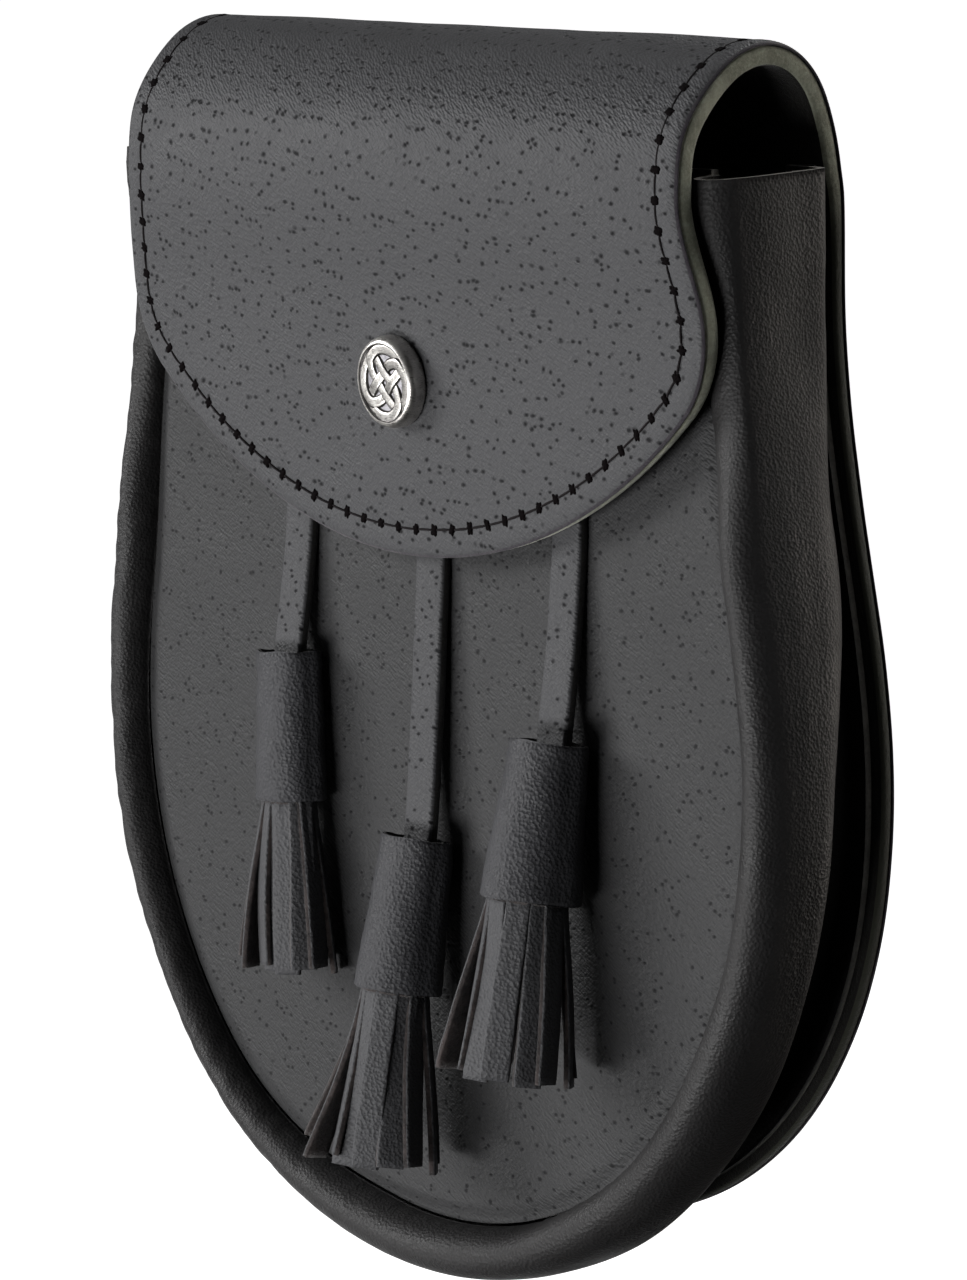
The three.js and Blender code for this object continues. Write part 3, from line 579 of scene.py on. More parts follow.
def pigskin(name, color, spread=3.4, pore=0.38, dark=0.96, lean=0.56):
    """Grained black leather with a pigskin pattern: pores in loose pairs over a fine slanting grain."""
    roughness = 0.55
    n = Material(name, color, roughness, LEATHER_SPECULAR)
    skin = n.leather_mm()
    where = n.vector("MULTIPLY", skin, NARROWED)
    rows = n.new("ShaderNodeMapping", {"Vector": where, "Rotation": (0, 0, -lean)}).outputs[0]
    drift = n.new("ShaderNodeTexNoise", {"Vector": where, "Scale": 1 / 8, "Detail": 1.0}).outputs["Color"]
    drift = n.vector("SUBTRACT", drift, (0.5, 0.5, 0.5))
    first, second, third = (pore_field(n, rows, drift, spread, pore, field) for field in PORE_FIELDS)
    pores = n.math("MAXIMUM", n.math("MAXIMUM", first, second), third)
    height = n.math("MULTIPLY", n.noise(where, 0.42, 3, 0.6), 0.09)
    for turn, deep in ((lean, 0.11), (-lean * 1.2, 0.05)):
        inputs = {"Vector": skin, "Rotation": (0, 0, turn), "Scale": (1.3, 0.42, 1.0)}
        slant = n.new("ShaderNodeMapping", inputs, vector_type="TEXTURE").outputs[0]
        height = n.math("MULTIPLY_ADD", n.cells(slant, 1.0).outputs["Distance"], deep, height)
        height = n.math("MULTIPLY_ADD", n.noise(slant, 4.0, 3, 0.6), deep * 1.2, height)
    height = n.math("MULTIPLY_ADD", pores, -0.16, height)
    patch = n.noise(skin, 9, 4, 0.6)
    speck = n.noise(where, 0.5, 3, 0.7)
    spots = n.math("MULTIPLY_ADD", speck, 0.6, n.math("MULTIPLY", patch, 0.5))
    lit = n.tint(spots, scaled(color, 0.7), scaled(color, 1.3))
    rough = n.math("ADD", n.step(patch, 0.25, 0.75, roughness - 0.05, roughness + 0.07),
                   n.math("MULTIPLY", pores, 0.3), clamp=True)
    return n.finish(n.tint(n.math("MULTIPLY", pores, dark), lit, PORE_BLACK), height, rough)


def nappa(name, color, roughness, pebble, depth, crease):
    """Smooth black leather with a fine pebble and faint creases."""
    n = Material(name, color, roughness, LEATHER_SPECULAR)
    where = n.space_mm()
    grain = n.cells(where, pebble, "3D").outputs["Distance"]
    fine = n.math("MULTIPLY", n.noise(where, 0.35, 3, 0.6), depth * 0.6)
    height = n.math("MULTIPLY_ADD", grain, depth, fine)
    height = n.math("MULTIPLY_ADD", n.noise(where, 5.5, 4, 0.6, 0.6), crease, height)
    patch = n.noise(where, 12, 3, 0.55)
    rough = n.step(patch, 0.25, 0.75, roughness - 0.05, roughness + 0.08)
    return n.finish(n.tint(patch, scaled(color, 0.75), scaled(color, 1.35)), height, rough)


def suede(name, color, fleck, size=0.6, depth=0.22, shade_span=None):
    """Raw flesh side or cut edge: matte, fibrous and uneven in colour. The span, if given, is where along the
    leather, from and to, painted shade at a fifth of the colour gives way to the full colour."""
    n = Material(name, color, 0.95, specular=0.2)
    n.set(**{"Sheen Weight": 0.25, "Sheen Roughness": 0.5})
    where = n.space_mm()
    fibre = n.noise(where, size, 6, 0.7)
    blotch = n.noise(where, size * 7, 3, 0.6)
    height = n.math("MULTIPLY_ADD", fibre, depth, n.math("MULTIPLY", blotch, depth))
    mixed = n.math("MULTIPLY_ADD", blotch, 0.5, n.math("MULTIPLY", fibre, 0.5))
    shade = n.tint(n.step(mixed, 0.35, 0.68), color, fleck)
    # Painted shade: before the span along the leather, the colour falls to a fifth
    if shade_span is not None:
        along = n.new("ShaderNodeSeparateXYZ", {"Vector": n.leather_mm()}).outputs[1]
        shade = n.tint(n.step(along, *shade_span), scaled(color, 0.2), shade)
    return n.finish(shade, height)


def thread_material(name, color):
    """Waxed twisted thread."""
    n = Material(name, color, 0.85, specular=0.04)
    twist = n.noise(n.space_mm(), 0.22, 2, 0.5)
    return n.finish(n.tint(twist, scaled(color, 0.6), scaled(color, 1.6)), n.math("MULTIPLY", twist, 0.12))


def aged_metal(name, color, dark, roughness):
    """Antiqued silver: bright where rubbed, dark in the recesses, with fine scratches."""
    n = Material(name, color, roughness, metallic=1.0)
    where = n.space_mm()
    worn = n.noise(where, 2.2, 5, 0.65)
    scratch = n.new("ShaderNodeMapping", {"Vector": where, "Rotation": (0.3, 0.2, 0.9), "Scale": (1, 1, 9)})
    lines = n.noise(scratch.outputs[0], 0.8, 2, 0.5)
    height = n.math("MULTIPLY_ADD", lines, 0.012, n.math("MULTIPLY", worn, 0.03))
    rough = n.step(lines, 0.2, 0.8, roughness - 0.06, roughness + 0.14)
    return n.finish(n.tint(n.step(worn, 0.3, 0.62), dark, color), height, rough)


BLACK = (0.0465, 0.0465, 0.049)
# A darker black for the front panel: painted shade, for the shade the panel gets beneath the flap and between
# the rims
PANEL_SHADED_BLACK = (0.028, 0.028, 0.0288)
PIGSKIN = pigskin("pigskin_leather", BLACK)
PANEL_SKIN = pigskin("pigskin_panel_leather", PANEL_SHADED_BLACK, 3.9, 0.32, 0.75, -0.56)
STRAP_SKIN = pigskin("pigskin_strap_leather", BLACK, 3.3, 0.34, 0.96, -0.56)
NAPPA = nappa("smooth_black_leather", (0.0165, 0.0158, 0.016), 0.5, 0.55, 0.1, 0.05)
COLLAR_SKIN = nappa("pebbled_black_leather", (0.033, 0.033, 0.036), 0.47, 0.6, 0.17, 0.03)
STRIP_SKIN = nappa("fringe_grain_leather", (0.052, 0.052, 0.055), 0.55, 0.6, 0.17, 0.06)
# Painted shade on the lining's cut edge: dark along the back below z 3, full olive from z 22 over the fold
# and flap
BACK_EDGE_SHADE = (float(fold_s(3, False)), float(fold_s(22, False)))
OLIVE_SPLIT = suede("olive_split_leather", (0.21, 0.216, 0.162), (0.42, 0.43, 0.335), shade_span=BACK_EDGE_SHADE)
DARK_SPLIT = suede("dark_split_leather", (0.008, 0.0075, 0.007), (0.018, 0.017, 0.015))
CUT_EDGE = suede("cut_grain_edge", (0.022, 0.018, 0.024), (0.05, 0.044, 0.05), 0.4, 0.12)
EDGE_GREY = suede("raw_grey_edge", (0.1, 0.097, 0.088), (0.2, 0.19, 0.17), 0.4, 0.12)
FLESH = suede("brown_black_suede", (0.007, 0.0052, 0.0052), (0.055, 0.043, 0.041), 0.9, 0.4)
THREAD = thread_material("black_thread", (0.013, 0.0112, 0.0118))
# Near-black, for the painted shade of the needle holes
HOLE_SHADE = thread_material("painted_hole_shade", (0.0016, 0.0008, 0.001))
DULL_SILVER = aged_metal("dull_silver", (0.42, 0.41, 0.43), (0.26, 0.25, 0.27), 0.42)
SILVER = aged_metal("aged_silver", (0.62, 0.6, 0.57), (0.42, 0.4, 0.38), 0.3)
RECESS = aged_metal("blackened_recess", (0.09, 0.085, 0.08), (0.03, 0.028, 0.027), 0.5)
NICKEL = aged_metal("plain_nickel", (0.6, 0.59, 0.56), (0.5, 0.49, 0.47), 0.32)


# Back, fold and flap

SLAB_INNER = 7.7
# The stitch groove: distance inwards from the stitches, and depth
GROOVE_ROWS = [(3.2, 0), (1.7, 0), (1.1, 0.02), (0.6, 0.08), (0, 0.12), (-0.6, 0.08), (-1.1, 0.02), (-1.6, 0)]


def build_leather():
    groove = [(STITCH_INSET + off, deep) for off, deep in GROOVE_ROWS]
    edge = [(2.2, 0), (1.5, 0.03), (0.9, 0.12), (0.4, 0.3), (0.1, 0.5), (0, 0.62)]
    under = [(0, 0.74), (0.12, FACE_EDGE), (1.2, FACE_EDGE), (SLAB_INNER, FACE_EDGE)]
    slots = [0] * (len(groove) + len(edge) - 3) + [1] * (len(under) + 2)
    leather_slab("face_leather_skin", groove + edge + under, (56, 8), [PIGSKIN, CUT_EDGE], slots,
                 ["face_leather"], "pigskin_face", pucker=0.16)
    low = FACE_EDGE + 0.08
    profile = [(SLAB_INNER, low), (1.2, low), (0.4, low + 0.05), (0.15, low + 0.3), (0.08, low + 0.8),
               (0.1, low + 1.3), (0.2, BACK_THICK - 0.45), (0.5, BACK_THICK - 0.12), (1.1, BACK_THICK),
               (SLAB_INNER, BACK_THICK)]
    leather_slab("lining_leather_skin", profile, (8, 40), [OLIVE_SPLIT, DARK_SPLIT], [0] * 7 + [1] * 2,
                 ["lining_leather"], "split_leather", swell=LINING_SWELL)


# Front panel and gusset

def inside_seam(x, z):
    bowl = SEAM["belly_half"] - np.hypot(x, (z - SEAM["belly_z"]) * SEAM["belly_half"] / SEAM["drop"])
    return np.where(z < SEAM["belly_z"], bowl, half_width(SEAM, z) - np.abs(x))


def side_seams(step):
    """The right seam and the left one, (x, z) from the bottom up, with their outward normals."""
    right = half_outline(SEAM, MOUTH_Z, step)
    normals = outward_normals(right)
    normals[-1] = (1, 0)
    leftness = ease((right[:, 0] - 12) / 46)
    out = leftness * (LEFT_SEAM_OUT + LEFT_NECK_OUT * ease((right[:, 1] + 62) / 40))
    left = (right + normals * out[:, None]) * (-1, 1)
    return right, normals, left, normals * (-1, 1), leftness


def build_panel():
    right, _, left, _, _ = side_seams(1.6)
    shares = np.sin(np.linspace(-np.pi / 2, np.pi / 2, 81))
    where = mix(left[:, None], right[:, None], (shares[None, :, None] + 1) / 2)
    inside = inside_seam(right[:, :1] * shares[None, :], np.broadcast_to(right[:, 1:], where.shape[:2]))
    curl = PANEL_CURL * (1 - ease(inside / PANEL_CURL_REACH))
    x, z = where[..., 0], where[..., 1]
    slanted = np.stack([x * 0.8 + z * 0.6, (z * 0.8 - x * 0.6) * 0.35], axis=-1)
    calm = ease(inside / 14)
    waves = calm * (0.35 * smooth_noise(where, 30, 1.7) + 0.25 * smooth_noise(slanted, 9, 5.2))
    build = Builder()
    front = np.stack([x, -PANEL_DEPTH + curl + waves, z], axis=-1)
    back = np.stack([x, -PANEL_DEPTH + PANEL_THICK + curl + waves, z], axis=-1)
    start = build.grid(front[1:], where[1:])
    flesh = build.grid(back[1:, ::-1], where[1:, ::-1], slot=1)
    build.close_sheet(start, flesh, front.shape[0] - 1, front.shape[1], 2)
    build.finish("front_panel_skin", [PANEL_SKIN, DARK_SPLIT, EDGE_GREY], ["front_panel"], "pigskin_panel")


# The gusset's section from the seam: outwards as a share of the rim's reach, forwards of its height, and
# backwards of the pouch's depth
SECTION_ROWS = [(0.05, 0, 0.07), (0.06, 0.2, 0), (0.18, 0.68, 0), (0.37, 0.95, 0), (0.58, 1, 0),
                (0.79, 0.8, 0), (0.94, 0.35, 0), (1, 0, 0.1), (1, 0, 0.28), (0.97, 0, 0.45)]
# Further back: outwards and backwards at the belly, then both at the neck
FOLD_IN_ROWS = [(0.86, 0.57, 0.93, 0.66), (0.62, 0.645, 0.82, 0.715), (0.3, 0.69, 0.52, 0.735),
                (0.03, 0.71, 0.2, 0.745), (-0.19, 0.72, -0.02, 0.75)]
FLANGE_INSET = 2
FLANGE_ROOT_OUT = -0.3


def reach_to_back(point, normal):
    near, far = -20.0, 40.0
    for _ in range(30):
        o = (near + far) / 2
        x, z = point + normal * o
        inside = z > BACK["belly_z"] - BACK["drop"] and abs(x) < half_width(BACK, z)
        near, far = (o, far) if inside else (near, o)
    return near


def gusset_section(point, normal, leftness):
    z = point[1]
    neck = ease((z - FLAP["tip_z"] - 10) / 30)
    proudest = mix(mix(RIM_PROUD, LEFT_PROUD, leftness), RIM_PROUD_NECK, ease((z - FLAP["tip_z"]) / 25))
    proudest += MOUTH_PROUD * ease((z + 8) / 20)
    reach = RIM_OUT - LEFT_TIGHTER * leftness
    ridge = mix(1, RIDGE_SHARE, ease((-40 - z) / 45))
    line = [(out * reach, -PANEL_DEPTH - proud * proudest + back * PANEL_DEPTH * ridge)
            for out, proud, back in SECTION_ROWS]
    for out, back, neck_out, neck_back in FOLD_IN_ROWS:
        behind = mix(back * ridge, neck_back, neck) * PANEL_DEPTH
        line.append((mix(out, neck_out, neck) * reach, -PANEL_DEPTH + behind))
    rear = np.interp(fold_s(z, False), FOLD_S, FOLD[:, 0]) if z > FOLD_START_Z else 0
    flange = rear - BACK_THICK - GAP - GUSSET_THICK
    line.append((mix(FLANGE_ROOT_OUT, FLANGE_ROOT_OUT / 2, neck) * reach, (line[-1][1] + flange) / 2))
    line.append((line[-2][0], flange))
    edge = max(line[-1][0] + 1, reach_to_back(point, normal) - FLANGE_INSET)
    line.append(((line[-1][0] + edge) / 2, flange))
    line.append((edge, flange))
    return soften(np.array(line), 72)


def gusset_relief(u, girth):
    """How far the leather stands out: wrinkles along the rolled rim, most on the left, slow lumps, and the
    pull of each stitch."""
    bead = np.exp(-((girth - 7) / 7) ** 2)
    total = u[-1, 0]
    left_share = ease((u - total * 0.52) / (total * 0.1))
    creases = smooth_noise(np.stack([u * 0.8 + girth * 0.9, (u - girth) * 0.16], axis=-1), 2.4, 4.4)
    soft = smooth_noise(np.stack([u, girth], axis=-1), 17, 2.2)
    side = ease((girth - 14) / 8) * (1 - ease((girth - 34) / 4))
    pucker = np.sin(u * 2 * np.pi / STITCH_PITCH) * np.exp(-((girth - 1.2) / 2.0) ** 2)
    relief = bead * (0.06 + 0.22 * left_share) * creases + 0.28 * soft * (bead + side) + 0.14 * pucker
    return relief * ease((girth - 0.4) / 1.5)


def build_gusset():
    right, right_out, left, left_out, leftness = side_seams(1.3)
    plain = [gusset_section(p, n, 0) for p, n in zip(right, right_out)]
    tight = [gusset_section(p * (-1, 1), n * (-1, 1), k) for p, n, k in zip(left, left_out, leftness)]
    line = np.vstack([right[::-1], left[1:]])[:, None]
    outward = np.vstack([right_out[::-1], left_out[1:]])[:, None]
    sections = np.array(plain[::-1] + tight[1:])
    girth = np.cumsum(np.linalg.norm(np.diff(sections, axis=1, prepend=sections[:, :1]), axis=2), axis=1)
    u = np.broadcast_to(path_length(line[:, 0])[:, None], girth.shape)
    tangent = unit(np.gradient(sections, axis=1))
    face_out = np.stack([tangent[..., 1], -tangent[..., 0]], axis=-1)

    def place(section):
        x, z = (line[..., k] + outward[..., k] * section[..., 0] for k in (0, 1))
        rise = mix(MOUTH_DROP, MOUTH_RISE, 1 + section[..., 1] / PANEL_DEPTH)
        return np.stack([x, section[..., 1], z + ease((line[..., 1] - 3) / 12) * rise], axis=-1)

    grain = place(sections + face_out * gusset_relief(u, girth)[..., None])
    flesh = place(sections - face_out * GUSSET_THICK)
    uv = np.stack([u, girth], axis=-1)
    build = Builder()
    start = build.grid(grain[:, ::-1], uv[:, ::-1])
    inner = build.grid(flesh, uv, slot=1)
    build.close_sheet(start, inner, grain.shape[0], grain.shape[1], 2)
    build.finish("gusset_skin", [NAPPA, DARK_SPLIT, EDGE_GREY], ["gusset"], "smooth_leather")


# Stitching

def tube(build, path, radii):
    """A round thread along a path, closed at both ends."""
    sides = 8
    along = unit(np.gradient(path, axis=0))
    side = unit(np.cross(along, (0.31, 0.52, 0.8)))
    other = np.cross(along, side)
    angles = np.linspace(0, 2 * np.pi, sides, endpoint=False)
    ring = side[:, None] * np.cos(angles)[None, :, None] + other[:, None] * np.sin(angles)[None, :, None]
    start = build.grid(path[:, None] + ring * radii[:, None, None], wrap_columns=True)
    end = start + (len(path) - 1) * sides
    build.cap(range(start, start + sides), path[0])
    build.cap(range(end, end + sides), path[-1], turn=True)


def shade_blot(build, centre, axes, sizes):
    """A small closed ellipsoid, with its own axes and half sizes, near-black: painted shade of a needle hole.
    """
    rings, sides = 5, 10
    turns = np.linspace(0, np.pi, rings + 2)[1:-1, None]
    angles = np.linspace(0, 2 * np.pi, sides, endpoint=False)
    local = np.stack([np.sin(turns) * np.cos(angles), np.sin(turns) * np.sin(angles),
                      np.broadcast_to(np.cos(turns), (rings, sides))], axis=-1) * sizes
    start = build.grid(centre + local @ axes, slot=1, wrap_columns=True)
    end = start + (rings - 1) * sides
    build.cap(range(start, start + sides), centre + axes[2] * sizes[2], 1)
    build.cap(range(end, end + sides), centre - axes[2] * sizes[2], 1, turn=True)


def stitch_run(build, points, outs, seed, sink, hole):
    """Stitches between neighbouring points: a thread that dives into a needle hole at each end, where small
    near-black ellipsoids paint the hole's shade.
    """
    rng = np.random.default_rng(seed)
    t = np.linspace(0.04, 0.96, 9)
    ends = np.abs(2 * t - 1)
    for k in range(len(points) - 1):
        a, b = points[k], points[k + 1]
        out = unit(outs[k] + outs[k + 1])
        side = np.cross(unit(b - a), out)
        wander = rng.uniform(-0.07, 0.07) * np.sin(np.pi * t)
        rise = THREAD_RISE - THREAD_DIP * ends ** 4 - sink
        path = a + (b - a) * t[:, None] + out * rise[:, None] + side * wander[:, None]
        tube(build, path, THREAD_RADIUS * (1 - 0.35 * ends ** 2))
    # At each needle hole, small near-black ellipsoids paint the hole's shade
    for k in range(len(points)):
        ahead = unit(points[min(k + 1, len(points) - 1)] - points[max(k - 1, 0)])
        across = unit(np.cross(outs[k], ahead))
        for lean, size in HOLE_SHADE_BLOTS:
            turn = math.radians(lean + rng.uniform(-14, 14))
            long_way = ahead * math.cos(turn) + across * math.sin(turn)
            axes = np.array((long_way, np.cross(outs[k], long_way), outs[k]))
            sizes = (hole * size * rng.uniform(0.8, 1.15), hole * 0.4 * rng.uniform(0.75, 1.25), HOLE_DEPTH)
            shade_blot(build, points[k] - outs[k] * (sink - 0.02), axes, sizes)


def build_flap_stitching():
    waves = leather_waves(MARKS[:, 0], MARKS[:, 1])
    points = fold_at(MARKS[:, 0], MARKS[:, 1], waves)
    above = fold_at(MARKS[:, 0], MARKS[:, 1], waves - 1)
    outs = unit(above - points)
    build = Builder()
    stitch_run(build, np.vstack([points, points[:1]]), np.vstack([outs, outs[:1]]), 11, 0.16, 1.25)
    build.finish("edge_stitching", [THREAD, HOLE_SHADE], [], "pigskin_face")


# Press stud

# A quarter of the knot: across and along as shares of the field, and how high the band runs there
KNOT_ROWS = [(0.2, 0.68, -1), (0.2, 0.22, 1), (0.2, -0.2, -1), (0.17, -0.5, 0),
             (-0.06, -0.78, 1), (-0.5, -0.72, 0.6), (-0.8, -0.38, 0), (-0.88, 0.04, -1)]


def stud_place():
    """The stud's seat on the flap and its slope there."""
    s = fold_s(STUD_Z, True)
    seat = fold_at(0.0, s, leather_waves(0.0, s))
    above, below = (fold_at(0.0, fold_s(STUD_Z + way * STUD_RADIUS, True), 0.0) for way in (1, -1))
    slope = math.atan2(below[1] - above[1], 2 * STUD_RADIUS)
    return seat, slope


def build_stud():
    seat, slope = stud_place()
    r, h = STUD_RADIUS, STUD_HEIGHT
    field = r * KNOT_SHARE
    profile = [(0, 0), (r * 0.9, 0), (r * 0.98, h * 0.08), (r, h * 0.22), (r * 1.0, h * 0.5),
               (r * 0.985, h * 0.68), (r * 0.95, h * 0.84), (r * 0.9, h * 0.94), (r * 0.855, h * 0.97),
               (r * 0.825, h * 0.93), (field, h * 0.8), (field * 0.97, h * 0.78), (field * 0.5, h * 0.8),
               (0, h * 0.81)]
    fine = [profile[0]]
    for a, b in zip(profile, profile[1:]):
        fine += [tuple(mix(np.array(a), np.array(b), t)) for t in (0.5, 1)]
    recess_from = next(k for k, p in enumerate(fine) if k > 10 and p[0] <= field * 1.005)
    angles = np.linspace(0, 2 * np.pi, 96, endpoint=False)
    rings = np.array([[(p[0] * math.cos(a), -p[1], p[0] * math.sin(a)) for p in fine[1:-1]] for a in angles])
    steps = rings.shape[1]
    slots = [0] * (recess_from - 2) + [1] * 2 + [2] * (steps - 1 - recess_from)
    build = Builder()
    start = build.grid(rings, wrap_rows=True, slots=slots)
    end = start + rings.shape[0] * steps
    build.cap(range(start, end, steps), (0, 0, 0), 0, turn=True)
    build.cap(range(start + steps - 1, end, steps), (0, -fine[-1][1], 0), 2)
    knot_bands(build, field, h * 0.8)
    turn = np.array(Matrix.Rotation(slope, 3, "X"))
    build.points = [np.vstack(build.points) @ turn.T + seat]
    build.finish("stud_cap", [SILVER, RECESS, DULL_SILVER], ["stud"], "stud_metal")


def knot_bands(build, field, floor):
    """One closed band that weaves over and under itself, four quarters alike."""
    nodes = []
    for k in range(4):
        turn = k * math.pi / 2 + math.pi / 4
        for x, y, lift in KNOT_ROWS:
            nodes.append((field * (x * math.cos(turn) - y * math.sin(turn)), lift,
                          field * (x * math.sin(turn) + y * math.cos(turn))))
    nodes = np.array(nodes)
    path = []
    for i in range(len(nodes)):
        before, start, end, after = (nodes[(i + k) % len(nodes)] for k in (-1, 0, 1, 2))
        path.append(curve(start, end, (end - before) / 2, (after - start) / 2, 10))
    flat = np.vstack(path)
    lift = flat[:, 1].copy()
    flat[:, 1] = 0
    along = unit(np.roll(flat, -1, axis=0) - np.roll(flat, 1, axis=0))
    side = np.stack([along[:, 2], np.zeros(len(along)), -along[:, 0]], axis=-1)
    section = [(-1.12, -0.3), (-1.12, 0.26), (-0.88, 0.28), (-0.86, 0.4), (-0.72, 0.45), (-0.3, 0.47),
               (0.3, 0.47), (0.72, 0.45), (0.86, 0.4), (0.88, 0.28), (1.12, 0.26), (1.12, -0.3)]
    points = []
    for wide, rise in section:
        row = flat + side * (wide * KNOT_WIDTH / 2)
        row[:, 1] = -floor - (rise + 0.13 * lift - 0.18)
        points.append(row)
    slots = [1] * 3 + [0] * 5 + [1] * 4
    build.grid(np.stack(points, axis=1), wrap_rows=True, wrap_columns=True, slots=slots)


# Tassels

def tassel_frame(tassel):
    lean = max(math.radians(tassel["lean"]), math.atan2(tassel["end"][1] - tassel["top"][1], COLLAR_LENGTH))
    turn = Euler((-lean, 0, 0)).to_matrix() @ Euler((0, math.radians(-tassel["tilt"]), 0)).to_matrix()
    y = -PANEL_DEPTH - GAP - COLLAR_CLEAR - tassel["top"][1]
    return np.array(turn), np.array([tassel["across"], y, tassel["top_z"]]), lean


def collar_halves(tassel, below, inset=0.0):
    share = below / COLLAR_LENGTH
    return [mix(tassel["top"][k], tassel["end"][k], share) - inset for k in (0, 1)]


# A strip's section: shares of half its width and of its thickness, round its grain side and then its back
STRIP_SECTION = [(-1, 0.2), (-0.96, 0.42), (-0.85, 0.5), (-0.4, 0.5), (0, 0.5), (0.4, 0.5), (0.85, 0.5),
                 (0.96, 0.42), (1, 0.2), (1, -0.35), (0.94, -0.5), (0.4, -0.5), (-0.4, -0.5), (-0.94, -0.5),
                 (-1, -0.35)]


def sweep_strip(build, spine, out, across, widths, thick, uv_start):
    """A flat strip along a spine, with soft edges. Slot 0 is its grain, 1 its cut edges and flesh side."""
    length = path_length(spine)
    points, uvs = [], []
    for wide, deep in STRIP_SECTION:
        aside = wide * widths / 2
        points.append(spine + across * aside[:, None] + out * (deep * thick))
        uvs.append(np.column_stack([uv_start[0] + aside, uv_start[1] - length]))
    points = np.stack(points, axis=1)
    start = build.grid(points, np.stack(uvs, axis=1), wrap_columns=True, slots=[0] * 8 + [1] * 7)
    sides = len(STRIP_SECTION)
    end = start + (len(spine) - 1) * sides
    build.cap(range(start, start + sides), points[0].mean(axis=0), 1)
    build.cap(range(end, end + sides), points[-1].mean(axis=0), 1, turn=True)


def build_strap(name, tassel):
    _, top, lean = tassel_frame(tassel)
    wide, deep = collar_halves(tassel, 0, COLLAR_WALL + GAP)
    behind = deep * math.sqrt(max(0, 1 - (STRAP_WIDTH / 2 / wide) ** 2)) - STRAP_THICK / 2
    insert = COLLAR_LENGTH - HEAD_LENGTH - GAP * 2
    rest = -PANEL_DEPTH - GAP - STRAP_THICK / 2
    enter = top[1] + behind * 0.8
    free = FLAP["tip_z"] + 2
    knots = np.array([(rest, STRAP_TOP_Z), (rest, free), (mix(rest, enter, 0.42), mix(free, top[2], 0.5)),
                      (enter, top[2]), (enter - math.sin(lean) * insert, top[2] - math.cos(lean) * insert)])
    line = soften(knots, 60)
    spine = np.column_stack([np.full(len(line), top[0]), line])
    spine[:, 0] += 0.25 * smooth_noise(spine, 15, 6.0 + top[0] * 0.01)
    along = unit(np.gradient(spine, axis=0))
    across = np.broadcast_to(np.array([1.0, 0, 0]), spine.shape)
    out = unit(np.cross(along, across))
    out *= np.sign(-out[:, 1:2])
    widths = STRAP_WIDTH * (1 + 0.02 * smooth_noise(spine, 8, 2.0))
    build = Builder()
    sweep_strip(build, spine, out, across, widths, STRAP_THICK, (top[0], 0))
    build.finish("strap_" + name + "_skin", [STRAP_SKIN, DARK_SPLIT], ["strap_" + name], "strap_leather")


def build_collar(name, tassel):
    """A rolled sleeve: the leather goes once round and laps over its own start at the side."""
    turn, top, _ = tassel_frame(tassel)
    begin, lap = math.radians(20), math.radians(38)
    angles = np.linspace(begin, begin + 2 * math.pi + lap, 80)
    below = np.concatenate([[0, 0.25], np.linspace(0.8, COLLAR_LENGTH - 0.8, 26),
                            [COLLAR_LENGTH - 0.25, COLLAR_LENGTH]])
    rise = ease((angles - begin - 2 * math.pi + math.radians(25)) / math.radians(30)) * (COLLAR_WALL * 0.75)
    drop = (1 - ease((angles - begin) / math.radians(45))) * COLLAR_WALL * 0.35
    seed = top[0] * 0.1

    def layer(sunk, rounded):
        rows = []
        for k, at in enumerate(below):
            a, b = collar_halves(tassel, at)
            where = np.column_stack([angles * 5, np.full(len(angles), at)])
            dent = 0.24 * smooth_noise(where, 6, seed) + 0.1 * smooth_noise(where, 2.4, 3 + seed)
            on_rim = k in (0, len(below) - 1)
            off = rise - drop - sunk + dent - rounded * on_rim
            height = -at + 0.35 * smooth_noise(where, 4, 9 + seed) * on_rim
            rows.append(np.column_stack([(a + off) * np.cos(angles), (b + off) * np.sin(angles), height]))
        return np.array(rows) @ turn.T + top

    outer = layer(0.0, 0.22)
    inner = layer(COLLAR_WALL * 0.8, -0.22)
    uv = np.stack(np.meshgrid(below, angles * 6, indexing="ij"), axis=-1)
    build = Builder()
    start = build.grid(outer, uv)
    flesh = build.grid(inner[:, ::-1], uv[:, ::-1], slot=1)
    build.close_sheet(start, flesh, outer.shape[0], outer.shape[1], 1)
    build.finish(f"collar_{name}_skin", [COLLAR_SKIN, DARK_SPLIT], ["collar_" + name], "collar_leather")


# Strips of each fringe, counterclockwise as seen from above: the angle round the collar in degrees (270 is
# the front), the flare at the end, the twist in degrees, and the length as a share
STRIPS = [
    (184, 8.2, 28, 0.93), (212, 4.6, 30, 1.0), (240, 1.6, 8, 0.97), (268, 0.6, -18, 1.0),
    (304, 0.6, -6, 1.01), (340, 1.6, 0, 0.99), (8, 3.4, -12, 0.98), (36, 4.6, -4, 1.0),
    (64, 5.0, 0, 0.95), (104, 1.4, 0, 0.97), (144, 2.6, 6, 0.95),
]
STRIP_WIDTH = 4.4


STRIP_CLEAR = 0.35


